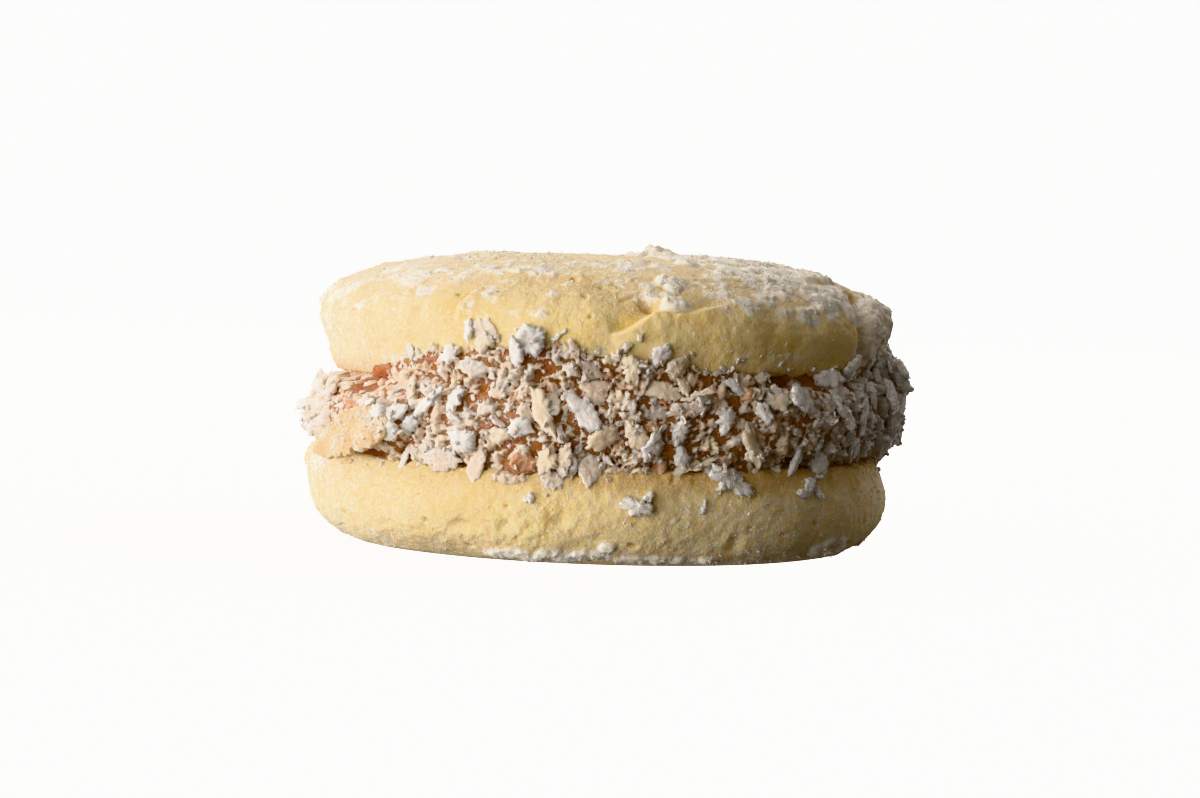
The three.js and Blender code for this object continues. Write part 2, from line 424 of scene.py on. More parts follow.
def dent(points, centre, radius, depth, stretch):
    """The relief of a soft hollow, wider than tall where stretch is over 1."""
    away = points - centre
    level = np.hypot(away[..., 0], away[..., 1]) / stretch
    return -depth * np.exp(-((np.hypot(level, away[..., 2]) / radius) ** 2))


# Kinds of hollows in the dough: how deep they go in millimetres, and how much painted shade, a deeper yellow,
# they get.
HOLLOWS = {
    "pits": (0.38, 1.3),
    "pores": (0.08, 0.3),
    "cracks": (0.1, 0.6),
    "sponge": (0.15, 1.0),
}


def dough_relief(points, seed, craggy):
    """The dough's unevenness in millimetres and how hollow each place is, 0 to 1. craggy: how torn it is."""
    broad = 0.2 * fractal(points, 9.0, 2, seed)
    lumps = 0.08 * fractal(points, 3.0, 2, seed + 1)
    crumb = (0.04 + 0.04 * craggy) * noise(points, 0.8, seed + 2)
    grain = 0.035 * noise(points, 0.36, seed + 9)
    warp = np.stack([noise(points, 1.6, seed + s) for s in (3, 4, 5)], -1)
    squat = (points + 0.5 * warp) * np.array([0.6, 0.6, 1.0])
    patch = smoothstep(noise(points, 6.0, seed + 6), -0.35, 0.4)
    pits = dimples(squat, 1.4, 0.42, 0.4, seed + 7) * (0.3 + 0.7 * patch)
    pores = dimples(points, 0.62, 0.2, 0.5, seed + 8)
    torn = smoothstep(noise(points, 3.0, seed + 10) + 0.5 * craggy, 0.0, 0.6) * craggy
    cracks = torn * hill(noise(squat, 0.8, seed + 11) / 0.2)
    sponge = torn * dimples(points + 0.3 * warp, 0.95, 0.34, 0.6, seed + 12)
    relief = broad + lumps + crumb + grain
    hollow = np.zeros_like(relief)
    for kind, where in (("pits", pits), ("pores", pores), ("cracks", cracks), ("sponge", sponge)):
        depth, shade = HOLLOWS[kind]
        relief -= depth * where
        hollow += shade * where
    # Places lower than the lumps around them get painted shade too.
    hollow += 0.3 * smoothstep(-lumps, 0.02, 0.12)
    return relief, np.clip(hollow, 0, 1)


# The shortest waves that are kept round a ring of a skin, in millimetres.
FINEST_WAVE = 0.5


def without_streaks(grid, heights):
    """Heights on a grid's rings, less the short waves round them that would show as streaks near a pole."""
    girth = 2 * np.pi * np.hypot(grid[..., 0], grid[..., 1]).mean(1)
    waves = np.fft.rfft(heights, axis=1)
    kept = np.arange(waves.shape[1]) * FINEST_WAVE < girth[:, None]
    return np.fft.irfft(waves * kept, heights.shape[1], axis=1)


def crumbled(points, edge_height, reach, seed):
    """How far the dough has crumbled away round a sharp edge, in millimetres."""
    near = hill((points[..., 2] - edge_height) / reach)
    crumbs = 0.4 * np.clip(noise(points, 1.3, seed), 0, 1)
    grains = 0.25 * np.clip(noise(points, 0.5, seed + 1), 0, 1)
    return near * (crumbs + grains)


# Edges of lobes in the upper biscuit's front: pixels along them, rise, dip and reach in millimetres.
UPPER_LOBES = [
    ([(611, 334), (624, 330), (636, 324), (645, 317), (655, 311), (668, 309)], 0.3, 0.42, 2.0),
    ([(652, 315), (672, 314), (690, 313), (706, 308), (724, 304)], 0.18, 0.16, 1.6),
    ([(456, 324), (455, 313), (458, 305), (465, 299), (473, 292), (481, 286)], 0.25, 0.22, 2.2),
    ([(634, 294), (626, 297), (618, 299)], 0.05, 0.2, 0.5),
]
# Hollows in it: pixel, radius and depth in millimetres, and how much wider than tall.
UPPER_DENTS = [
    ((648, 304), 0.6, 1.1, 0.9),
    ((642, 297), 1.0, 0.3, 0.7),
    ((425, 289), 0.7, 0.35, 1.8),
    ((419, 309), 0.8, 0.35, 0.7),
    ((372, 290), 0.6, 0.35, 2.4),
    ((341, 307), 0.7, 0.3, 1.8),
    ((375, 313), 0.7, 0.28, 1.5),
    ((815, 320), 0.9, 0.4, 0.8),
    ((777, 322), 3.0, 0.35, 0.5),
    ((800, 330), 2.6, 0.25, 0.5),
    ((520, 330), 3.5, 0.25, 1.4),
]
UPPER_CREASE = [(846, 286), (853, 296), (859, 308), (862, 322), (863, 338), (861, 352)]

# Hollows in the lower biscuit.
LOWER_DENTS = [
    ((355, 478), 0.6, 0.3, 1.6),
    ((353, 517), 0.6, 0.3, 1.2),
    ((462, 525), 0.6, 0.35, 1.8),
    ((505, 525), 0.5, 0.3, 1.2),
    ((560, 523), 0.5, 0.3, 1.4),
    ((735, 545), 1.6, 0.35, 0.4),
]


def biscuit_dents(points, surface, dents):
    """The relief of some dents in millimetres, and how deep in one each place lies, 0 to 1."""
    hollows = []
    for pixel, radius, depth, stretch in dents:
        centre = stroke_on(surface, [pixel])[0]
        hollows.append(dent(points, centre, radius, depth, stretch))
    return sum(hollows), np.clip(-np.min(hollows, axis=0), 0, 1)


# Heaps of white dust on the upper biscuit: pixel, half width and half height in millimetres, and how thick.
# Up to 1 they only whiten the dough, and over that they stand out from it.
UPPER_HEAPS = [
    ((430, 272), 7.0, 2.5, 0.5),
    ((530, 271), 5.0, 1.6, 0.85),
    ((600, 264), 6.0, 2.0, 0.55),
    ((612, 278), 3.0, 1.6, 0.45),
    ((672, 284), 1.7, 1.9, 1.1),
    ((675, 304), 1.6, 0.9, 1.4),
    ((660, 296), 1.4, 0.8, 0.7),
    ((688, 266), 1.3, 1.3, 1.3),
    ((728, 263), 2.0, 4.0, 1.5),
    ((740, 275), 4.5, 2.2, 0.9),
    ((780, 284), 4.5, 2.6, 1.1),
    ((815, 295), 3.2, 3.0, 1.2),
    ((845, 298), 2.4, 2.4, 1.0),
    ((875, 318), 4.5, 3.4, 1.5),
    ((868, 350), 4.0, 1.8, 1.0),
    ((780, 362), 8.0, 1.0, 0.35),
    ((330, 318), 0.8, 1.4, 0.7),
]
# Mounds of dust on the crown's far side: X and Y, half width and half depth in millimetres, and how thick.
FAR_MOUNDS = [
    ((5.4, 15.0), 3.8, 5.0, 5.5),
    ((2.6, 14.0), 1.4, 4.0, 3.2),
    ((13.6, 12.0), 2.4, 4.0, 2.6),
    ((-14.9, 12.0), 0.8, 0.9, 2.8),
    ((-10.2, 14.0), 0.9, 0.8, 2.8),
    ((-5.7, 14.0), 1.0, 0.9, 2.4),
]
# Heaps on the lower biscuit, in the same terms as those on the upper one.
LOWER_HEAPS = [
    ((548, 557), 7.0, 1.4, 0.85),
    ((607, 548), 0.9, 0.6, 1.2),
    ((650, 561), 5.0, 0.8, 0.7),
    ((705, 560), 1.7, 0.6, 0.8),
    ((828, 546), 3.0, 1.4, 1.0),
    ((322, 456), 2.3, 1.4, 0.9),
]


def heaps(points, surface, places):
    """How thickly dust lies in heaps round some places."""
    thick = np.zeros(points.shape[:-1])
    for pixel, half_width, half_height, most in places:
        found = surface.hit(CAMERA_PLACE, ray_through(pixel))
        if found is None:
            continue
        away = points - found
        level = np.array([-found[1], found[0], 0.0]) / np.hypot(found[0], found[1])
        along = away @ level
        across = np.linalg.norm(away - along[..., None] * level, axis=-1)
        inside = 1.35 - np.hypot(along / half_width, across / half_height)
        thick = np.maximum(thick, most * smoothstep(inside, 0.0, 0.8))
    return thick


def far_mounds(points):
    """How thickly dust lies in the mounds at the crown's far side."""
    on_crown = points[..., 2] > 20
    thick = np.zeros(points.shape[:-1])
    for (x, y), half_width, half_depth, most in FAR_MOUNDS:
        away = np.hypot((points[..., 0] - x) / half_width, (points[..., 1] - y) / half_depth)
        thick = np.maximum(thick, most * smoothstep(-away, -1.0, -0.2) * on_crown)
    return thick


def broken(thick, points, seed):
    """Dust that thins out into clumps and crumbs towards the edge of where it lies."""
    clumps = 0.5 + 0.5 * fractal(points, 1.5, 3, seed)
    return thick * 1.5 * smoothstep(clumps + 0.5 * thick, 0.45, 1.05)


def powder_depth(points, dust, seed):
    """How deep the dust lies, in millimetres: in soft clots, and deeper where dust is over 1."""
    grains = 0.08 * noise(points, 0.8, seed + 1) + 0.06 * noise(points, 0.36, seed + 2)
    clots = 0.27 + 0.12 * noise(points, 1.8, seed) + 0.12 * noise(points, 0.6, seed + 3)
    mound = np.maximum(dust - 0.9, 0) * clots
    return smoothstep(dust, 0.3, 0.9) * (0.08 + grains + mound)


def upper_dust(points, normals, azimuth, surface):
    """How thickly the white dust lies on the upper biscuit, with a painted highlight as extra whiteness on its
    lit left side: 1 covers it, and more is a drift or a mound.
    """
    upwards = normals[..., 2]
    patchy = 0.5 + 0.5 * fractal(points, 4.5, 3, 71)
    unseen = 1 - in_front(azimuth)
    crown = smoothstep(upwards, 0.45, 0.85) * smoothstep(patchy, 0.35, 0.75)
    shoulder = hill((upwards - 0.55) / 0.45) * smoothstep(patchy, 0.4, 0.7)
    seen = heaps(points, surface, UPPER_HEAPS)
    drift = 1.4 * hill_around(azimuth, -2, 80) ** 0.5 * smoothstep(upwards, 0.35, 0.75)
    drift *= smoothstep(patchy, 0.2, 0.6)
    thick = np.max([0.6 * crown, shoulder * mix(0.5, 0.9, unseen), drift, seen], axis=0)
    # Whiter on the left side, where the light is strongest: partly dust, partly a painted highlight.
    lit_side_dust_and_highlight = 0.5 * hill_around(azimuth, -168, 75) * (0.6 + 0.4 * patchy)
    veil = 0.05 + 0.12 * hill_around(azimuth, -45, 70)
    return np.clip(np.maximum(broken(thick, points, 73), far_mounds(points)) + lit_side_dust_and_highlight + veil, 0, 5.5)


# How finely the biscuits' skins are divided round the axis, and across the side that faces the filling.
BISCUIT_COLUMNS = 620
INNER_SIDE_RINGS = 7


def with_upper_marks(relief, hollow, points, surface):
    """A relief and how hollow each place is, with the upper biscuit's lobes, dents and crease added."""
    for pixels, rise, dip, reach in UPPER_LOBES:
        edge = lobe_edge(points, stroke_on(surface, pixels), rise, dip, reach)
        relief = relief + edge
        # The sunk side of a lobe gets painted shade, as a hollow.
        hollow = np.maximum(hollow, np.clip(-2 * edge, 0, 1))
    dents, deep = biscuit_dents(points, surface, UPPER_DENTS)
    distance, _, _ = stroke_distance(points, stroke_on(surface, UPPER_CREASE))
    crease = 1.3 * np.exp(-((distance / 0.9) ** 2))
    # Deep in a dent it gets painted shade, as a hollow.
    return relief + dents - crease, np.maximum(hollow, deep)


def upper_biscuit(material):
    """The upper biscuit: its skin, and how thickly dust lies on it."""
    rim = np.concatenate([np.linspace(-88, -42, 8), np.linspace(-38, 12, 34), np.linspace(14, 88, 42)])
    rays = half_section(core_radius=21.0, under_rings=INNER_SIDE_RINGS, rim_angles=rim, top_rings=58)
    soften = np.where(rays[:, 2] > 0.1, 1.0, 0.04)
    skin = node_skin("upper_biscuit", 22.0, rays, BISCUIT_COLUMNS, soften)
    surface = skin.surface()
    points = skin.grid
    azimuth = azimuth_of(points)
    relief, hollow = dough_relief(points, 11, 0.3 + 0.25 * hill_around(azimuth, -140, 60))
    relief, hollow = with_upper_marks(relief, hollow, points, surface)
    relief -= crumbled(points, points[INNER_SIDE_RINGS - 1, :, 2], 1.6, 51)
    normals = skin.normals()
    dust = upper_dust(points, normals, azimuth, surface)
    relief += powder_depth(points, dust, 61)
    knob = hill_around(azimuth, -6, 14) * hill((points[..., 2] - 22.6) / 3.4)
    relief += knob * (0.3 + 0.45 * fractal(points, 1.8, 2, 63))
    skin.push(without_streaks(points, relief))
    dust = np.minimum(dust, 1)
    # Darker, more golden dough near the filling: partly caramel stain, partly painted warm shade and glow where
    # the biscuit meets the filling.
    stain_and_shade = 0.6 * smoothstep(-points[..., 2] + 0.4 * noise(points, 1.5, 65), -18.0, -16.9)
    baked = 0.7 * smoothstep(normals[..., 2], 0.6, 0.97)
    values = {"dust": dust, "hollow": hollow, "baked": baked, "stain_and_shade": stain_and_shade}
    make_skin_piece("upper_biscuit", skin, values, material)
    return skin, dust


def lower_dust(points, azimuth, surface):
    """How thickly the white dust lies on the lower biscuit, with a painted highlight as extra whiteness on its
    lit left side: most at its heel.
    """
    patchy = 0.5 + 0.5 * fractal(points, 4.5, 3, 171)
    unseen = 1 - in_front(azimuth)
    heel = hill((points[..., 2] - 0.9) / 1.9) * smoothstep(patchy, 0.45, 0.7) * unseen
    thick = np.maximum(0.9 * heel, heaps(points, surface, LOWER_HEAPS))
    # Whiter on the left side, where the light is strongest: partly dust, partly a painted highlight.
    lit_side_dust_and_highlight = 0.4 * hill_around(azimuth, -172, 72) * (0.6 + 0.4 * patchy)
    veil = 0.12 + 0.36 * hill_around(azimuth, -52, 68)
    return np.clip(broken(thick, points, 173) + lit_side_dust_and_highlight + veil, 0, 2.6)


def lower_relief(points, surface):
    """The lower biscuit's relief without its dust, how hollow it is, and how much of it the coat covers."""
    azimuth, height = azimuth_of(points), points[..., 2]
    craggy = (0.45 + 0.5 * hill_around(azimuth, -135, 75)) * smoothstep(height, 0.6, 2.6)
    relief, hollow = dough_relief(points, 111, craggy)
    dents, deep = biscuit_dents(points, surface, LOWER_DENTS)
    relief += dents
    # Deep in a dent it gets painted shade, as a hollow.
    hollow = np.maximum(hollow, deep)
    relief -= crumbled(points, points[-INNER_SIDE_RINGS - 1, :, 2], 1.3, 151)
    lip = hill_around(azimuth, 186, 24) * hill((height - 7.9) / 1.8)
    relief += lip * (0.25 + 0.5 * np.abs(fractal(points, 1.3, 3, 153)))
    open_side = hill_around(azimuth, -165, 50) ** 0.5
    under_coat = smoothstep(height + 0.5 * noise(points, 2.0, 155), 6.0, 8.6) * (1 - open_side)
    relief -= 0.3 * under_coat
    hollow *= 1 - 0.7 * under_coat
    return relief, hollow, under_coat


def lower_biscuit(material):
    """The lower biscuit: its skin, and how thickly dust lies on it."""
    rim = np.concatenate([np.linspace(-88, 10, 52), np.linspace(12, 58, 26), np.linspace(62, 88, 5)])
    rays = half_section(core_radius=22.0, under_rings=22, rim_angles=rim, top_rings=INNER_SIDE_RINGS)
    soften = np.where(rays[:, 2] < 0.6, 1.0, 0.05)
    skin = node_skin("lower_biscuit", 4.6, rays, BISCUIT_COLUMNS, soften)
    surface = skin.surface()
    points = skin.grid
    relief, hollow, under_coat = lower_relief(points, surface)
    dust = lower_dust(points, azimuth_of(points), surface) * (1 - 0.8 * under_coat)
    relief += powder_depth(points, dust, 161)
    skin.push(relief * smoothstep(points[..., 2], 0.0, 0.6))
    dust = np.minimum(dust, 1)
    skin.grid[..., 2] = np.maximum(skin.grid[..., 2], 0.0)
    baked = smoothstep(-skin.normals()[..., 2], 0.5, 0.95)
    # Under the coat the dough is darker and more golden: partly caramel stain, partly painted shade under the
    # coat's overhang.
    values = {"dust": dust, "hollow": hollow, "baked": baked, "stain_and_shade": 0.9 * under_coat}
    make_skin_piece("lower_biscuit", skin, values, material)
    return skin, dust


# ---------------------------------------------------------------- maps of the side


class SideMap:
    """Values over the alfajor's side, by azimuth and height, in cells of a step in millimetres."""

    # Between which heights it runs, and at which radius its cells have their step.
    LOW = 5.0
    HIGH = 23.0
    MEAN_RADIUS = 28.0

    def __init__(self, values, step):
        self.values = values
        self.step = step

    @classmethod
    def cells(cls, step):
        """The azimuths and the heights of cells of that size."""
        count = round(2 * math.pi * cls.MEAN_RADIUS / step)
        return np.arange(count) * 360 / count, np.arange(cls.LOW, cls.HIGH, step)

    @classmethod
    def of_surfaces(cls, *surfaces, step=0.25):
        """The radius of whichever surface reaches furthest out."""
        azimuths, heights = cls.cells(step)
        furthest = [[max(s.radius_at(a, z) for s in surfaces) for z in heights] for a in azimuths]
        return cls(np.array(furthest), step)

    def index(self, azimuth, height):
        turns, levels = self.values.shape
        column = np.round(np.asarray(azimuth) % 360 * turns / 360).astype(int) % turns
        row = np.round((np.asarray(height) - self.LOW) / self.step).astype(int)
        return column, np.clip(row, 0, levels - 1)

    def at(self, azimuth, height):
        return self.values[self.index(azimuth, height)]

    def raise_to(self, azimuth, height, radius):
        np.maximum.at(self.values, self.index(azimuth, height), radius)

    def blurred(self, rounds):
        values = self.values
        for _ in range(rounds):
            values = blurred_round(blurred_round(values, axis=0), axis=1)
        return SideMap(values, self.step)

    def spread(self, rounds):
        """Each cell as large as the largest near it."""
        values = self.values
        for _ in range(rounds):
            for axis in (0, 1):
                values = np.max([values, np.roll(values, 1, axis), np.roll(values, -1, axis)], axis=0)
        return SideMap(values, self.step)

    def finer(self, step):
        """The same values in smaller cells, without stairs between them."""
        azimuths, heights = self.cells(step)
        own_azimuths, own_heights = self.cells(self.step)
        by_height = np.stack([np.interp(heights, own_heights, row) for row in self.values])
        both = [np.interp(azimuths, own_azimuths, column, period=360) for column in by_height.T]
        return SideMap(np.stack(both, -1), step)


# Bare places, where the caramel stands back: pixel, half width, half height and depth in millimetres.
BARE_PLACES = [
    ((359, 378), 3.2, 1.6, 1.6),
    ((806, 381), 3.4, 0.9, 2.8),
    ((400, 452), 0.9, 1.3, 0.9),
    ((368, 452), 2.0, 0.6, 0.5),
]


def bareness(azimuth, height):
    """1 in the middle of a bare place and 0 away from them, and how far the caramel stands back there."""
    bare = np.zeros(np.broadcast(azimuth, height).shape)
    depth = np.zeros_like(bare)
    for pixel, half_width, half_height, set_back in BARE_PLACES:
        middle, level = on_cylinder(pixel, FILLING_RADIUS)
        level_away = ((azimuth - middle + 180) % 360 - 180) * math.radians(FILLING_RADIUS) / half_width
        near = smoothstep(-np.hypot(level_away, (height - level) / half_height), -1.25, -0.7)
        bare = np.maximum(bare, near)
        depth = np.maximum(depth, near * set_back)
    return bare, depth


def caramel_radii(azimuths, heights, biscuits, coat):
    """How far out the caramel reaches: out over the biscuits' edges where the coat covers them."""
    place = around(azimuths, FILLING_RADIUS, heights)
    inner = SideMap.of_surfaces(node_surface("caramel_filling")).blurred(2).at(azimuths, heights)
    wall = biscuits.spread(1).at(azimuths, heights)
    covered = smoothstep(coat.blurred(4).at(azimuths, heights + 0.5 * noise(place, 2.5, 221)), 24.0, 27.0)
    film = mix(-0.6, 0.4 + 0.12 * fractal(place, 1.5, 2, 223), covered)
    between = np.where(inner > LEAST_RADIUS, inner, 0)
    bare, set_back = bareness(azimuths, heights)
    ooze = 0.8 + 0.35 * fractal(place, 3.6, 2, 211) + 0.14 * fractal(place, 1.1, 2, 213) - set_back
    radius = np.maximum(np.where(wall > LEAST_RADIUS, wall + film, 0), between + ooze)
    # The rays can miss both where they meet. There the radius is a middling one, until it is smoothed.
    radius = np.where(radius < LEAST_RADIUS, 25.0, radius)
    for _ in range(3):
        radius[1:-1] = 0.5 * radius[1:-1] + 0.25 * (radius[2:] + radius[:-2])
        radius = blurred_round(radius)
    flows = (covered * (1 - bare))[1:-1]
    for _ in range(25):
        bridged = np.maximum(0.5 * (radius[2:] + radius[:-2]) - radius[1:-1], 0)
        radius[1:-1] += 0.5 * flows * bridged
    return radius


def caramel(biscuits, coat, material):
    """The filling, right through, and what has oozed out of it under the coconut."""
    heights = np.linspace(7.0, 21.0, 62)[:, None]
    azimuths = columns_dense_in_front(330)[None, :]
    wall_rings = around(azimuths, caramel_radii(azimuths, heights, biscuits, coat), heights)
    contact = [(0.5, 0.0), (12.0, 0.0), (20.0, 0.0), (24.0, 0.5)]
    low_cap = np.stack([around(azimuths[0], r, LOWER_TOP - sag) for r, sag in contact])
    high_cap = np.stack([around(azimuths[0], r, UPPER_BASE + sag) for r, sag in contact[::-1]])
    skin = Skin(np.concatenate([low_cap, wall_rings, high_cap]))
    make_skin_piece("caramel_filling", skin, {}, material)
    return skin.surface(1)


# ---------------------------------------------------------------- coconut


# Outlines of chips: how many straight sides they have, by what share of an even step each is turned at most,
# and how far out they lie, as a share of half the chip's size.
SIDES = 6
SIDE_TURN = 0.3
SIDE_DISTANCES = (0.72, 1.05)


def random_sides(shape, rng):
    """Which way the sides of some outlines face, and how far out they lie."""
    steps = np.arange(SIDES) + rng.uniform(-SIDE_TURN, SIDE_TURN, (*shape, SIDES))
    return 2 * np.pi * steps / SIDES, rng.uniform(*SIDE_DISTANCES, (*shape, SIDES))


def many_sided(turn, count, rng):
    """How far out each of some outlines with straight sides runs, by the angle round it."""
    first = rng.uniform(0, 2 * np.pi, (count, 1))
    facing, distance = random_sides((count,), rng)
    towards = np.cos(turn[None, :, None] - (first + facing)[:, None, :]) / distance[:, None, :]
    return 1 / towards.max(-1)


class Chips:
    """Closed rough chips that share a layout, each flat round its own middle: length on X, thickness on Z."""

    def __init__(self, lengths, widths, thicknesses, rings, segments, ragged, rng):
        count = len(lengths)
        self.rings = rings
        self.segments = segments
        self.areas = lengths * widths
        place_in_noise = rng.uniform(-500, 500, (count, 1, 3))
        share = np.sin(np.pi / 2 * np.arange(1, rings + 1) / rings)
        outline = self.frayed_outline(lengths, widths, ragged, place_in_noise, rng)
        flat = outline[:, None] * share[None, :, None, None]
        top, underside = self.rough_sides(flat, share, thicknesses, place_in_noise)
        middle = np.zeros((count, 1, 3))
        middle[:, 0, 2] = thicknesses / 2
        both = np.concatenate([top, underside[:, : rings - 1][:, ::-1]], 1).reshape(count, -1, 3)
        self.points = np.concatenate([middle, both, -middle], 1)
        there_and_back = np.concatenate([share, share[:-1][::-1]])
        self.edge = np.concatenate([[0.0], np.repeat(there_and_back, segments), [0.0]])

    def frayed_outline(self, lengths, widths, ragged, place_in_noise, rng):
        """The chips' outlines: straight sides, frayed by that much."""
        turn = 2 * np.pi * np.arange(self.segments) / self.segments
        circle = np.stack([np.cos(turn), np.sin(turn)], -1)
        sized = np.stack([lengths, widths], -1)[:, None, :] / 2
        outline = many_sided(turn, len(lengths), rng)[..., None] * circle * sized
        rim = place_in_noise + np.concatenate([outline, np.zeros_like(outline[..., :1])], -1)
        frayed = ragged * (0.18 * noise(rim, 0.9, 301) + 0.3 * noise(rim, 0.38, 302))
        return outline + np.minimum(frayed, 0.3 * widths[:, None])[..., None] * circle

    @staticmethod
    def rough_sides(flat, share, thicknesses, place_in_noise):
        """The chips' tops and undersides, ring by ring: uneven and grainy, and thin at the edge."""
        place = np.concatenate([flat, np.zeros_like(flat[..., :1])], -1) + place_in_noise[:, None]
        fullness = np.sqrt(1 - share**5)[None, :, None]
        half = (thicknesses / 2)[:, None, None]
        for side, seed in ((1, 303), (-1, 306)):
            uneven = half * (1 + 0.32 * fractal(place, 1.1, 2, seed))
            granules = 0.1 * noise(place, 0.42, seed + 1) + 0.06 * noise(place, 0.22, seed + 2)
            yield np.concatenate([flat, (side * fullness * (uneven + granules))[..., None]], -1)

    def bend(self, curl, twist):
        """Curls each chip along its length and twists it."""
        x, y = self.points[..., 0], self.points[..., 1]
        self.points[..., 2] += curl[:, None] * (x**2) + twist[:, None] * x * y

    def turn(self, spin, lean, towards):
        """Turns each chip in its plane, then tips it over towards a direction."""
        self.points = rotated(self.points, spin, 2)
        self.points = rotated(rotated(rotated(self.points, -towards, 2), lean, 1), towards, 2)

    def places_on(self, count, rng):
        """Random places on the outer sides of the chips, close to their edges."""
        chosen = rng.choice(len(self.points), count, p=self.areas / self.areas.sum())
        inner, outer = (self.rings - 3) * self.segments, self.rings * self.segments
        return self.points[chosen, rng.integers(inner, outer + 1, count)]

    def faces(self):
        """Faces of all the chips: triangles at their middles and quads between their rings."""
        segments = self.segments
        bands = 2 * self.rings - 2
        index = 1 + np.arange((bands + 1) * segments).reshape(bands + 1, segments)
        after = np.roll(index, -1, 1)
        last = (bands + 1) * segments + 1
        quads = np.stack([index[:-1], index[1:], after[1:], after[:-1]], -1).reshape(-1, 4)
        over = np.stack([np.zeros(segments, int), index[0], after[0]], -1)
        under = np.stack([np.full(segments, last), after[-1], index[-1]], -1)
        first = (np.arange(len(self.points)) * self.points.shape[1])[:, None, None]
        return (first + quads).reshape(-1, 4), (first + np.concatenate([over, under])).reshape(-1, 3)

    def bake_corners(self):
        """For the same faces, each corner's place in the chip's own cell of the bake's map: the top is a disc
        in the cell's left half, and the underside one in its right half."""
        segments = self.segments
        share = np.concatenate([np.arange(1, self.rings + 1), np.arange(self.rings, 0, -1)]) / self.rings
        turn = 2 * np.pi * np.arange(segments + 1) / segments
        top_hub, bottom_hub = np.array([[0.25, 0.5], [0.75, 0.5]])
        side = np.repeat([top_hub[0], bottom_hub[0]], self.rings)
        across = side[:, None] + 0.23 * share[:, None] * np.cos(turn)
        place = np.stack([across, 0.5 + 0.46 * share[:, None] * np.sin(turn)], -1)
        # The rim has a place in both discs, and no band lies between the two.
        bands = [(place[i], place[i + 1]) for i in range(len(place) - 1) if i != self.rings - 1]
        quads = [np.stack([a[:-1], b[:-1], b[1:], a[1:]], 1) for a, b in bands]
        over = np.stack([np.broadcast_to(top_hub, (segments, 2)), place[0, :-1], place[0, 1:]], 1)
        under = np.stack([np.broadcast_to(bottom_hub, (segments, 2)), place[-1, 1:], place[-1, :-1]], 1)
        quads = np.concatenate(quads) if quads else np.zeros((0, 4, 2))
        return quads.reshape(-1, 2), np.concatenate([over, under]).reshape(-1, 2)


def rotated(points, angles, axis):
    """Each chip's points, turned round an axis by its own angle."""
    first, second = [(1, 2), (2, 0), (0, 1)][axis]
    cosine, sine = np.cos(angles)[:, None], np.sin(angles)[:, None]
    turned = points.copy()
    turned[..., first] = cosine * points[..., first] - sine * points[..., second]
    turned[..., second] = sine * points[..., first] + cosine * points[..., second]
    return turned


# How steeply a chip lies at most, and which share of its points ends up above the pile.
STEEPEST = 0.4
SHARE_ABOVE = 0.75


def lay(chips, azimuths, heights, pile, sink):
    """Puts each chip down on the pile where it comes to rest, sunk in a little, and raises the pile by it."""
    laid = np.empty_like(chips.points)
    for i, (chip, azimuth, height) in enumerate(zip(chips.points, azimuths, heights)):
        turns = azimuth + np.degrees(chip[:, 0] / SideMap.MEAN_RADIUS)
        levels = height + chip[:, 1]
        under = pile.at(turns, levels)
        plane = np.stack([np.ones(len(chip)), chip[:, 0], chip[:, 1]], -1)
        slope = np.clip(np.linalg.lstsq(plane, under, rcond=None)[0][1:], -STEEPEST, STEEPEST)
        out = chip[:, 2] + chip[:, :2] @ slope
        out += np.quantile(under - out, SHARE_ABOVE) - sink
        laid[i] = around(turns, out, levels)
        pile.raise_to(turns, levels, out)
    chips.points = laid


class Heap:
    """Chips of one kind, joined into one piece."""

    def __init__(self, name, material, smooth=True):
        self.name = name
        self.material = material
        self.smooth = smooth
        self.batches = []

    def add(self, chips, tones, frosts):
        """Takes in chips, with a tone and a frosting for each."""
        self.batches.append((chips, tones, frosts))

    def make(self):
        """Makes the piece. Chips of more than two rings are whiter at their rims, least the whitest: partly
        frosting, partly painted light where thin edges let it through.
        """
        points, faces, corners, tone, frost_and_painted_light = [], [], [], [], []
        start = 0
        total = sum(len(chips.points) for chips, _, _ in self.batches)
        across = math.ceil(math.sqrt(total))
        cell = 0
        for chips, tones, frosts in self.batches:
            count, each = chips.points.shape[:2]
            cells = cell + np.arange(count)
            origin = np.stack([cells % across, cells // across], -1)[:, None, :]
            for block, corner in zip(chips.faces(), chips.bake_corners()):
                faces.append(block + start)
                corners.append(((origin + corner[None]) / across).reshape(-1, 2))
            points.append(chips.points.reshape(-1, 3))
            tone.append(np.repeat(tones, each))
            rim = chips.edge**4 * (chips.rings > 2)
            frost_and_painted_light.append((frosts[:, None] + mix(0.6, 0.15, tones)[:, None] * rim).ravel())
            start += count * each
            cell += count
        values = {"tone": np.concatenate(tone), "frost_and_painted_light": np.concatenate(frost_and_painted_light)}
        points, bake_map = np.concatenate(points), np.concatenate(corners)
        make_piece(self.name, points, faces, values, bake_map, self.material, smooth=self.smooth)


# How much chips curl and twist, to each side of not at all, over a millimetre.
CURL = 0.05
TWIST = 0.08


def chips_of(count, length, width, thickness, rings, segments, ragged, rng, lean):
    """Chips of random sizes between the limits given, turned at random and leaning by about that much."""
    lengths = rng.uniform(*length, count)
    widths = np.minimum(rng.uniform(*width, count), lengths)
    chips = Chips(lengths, widths, rng.uniform(*thickness, count), rings, segments, ragged, rng)
    chips.bend(rng.normal(0, CURL, count), rng.normal(0, TWIST, count))
    spins = rng.uniform(0, 2 * np.pi, count)
    leans = np.radians(rng.normal(0, lean, count))
    chips.turn(spins, leans, rng.uniform(0, 2 * np.pi, count))
    return chips


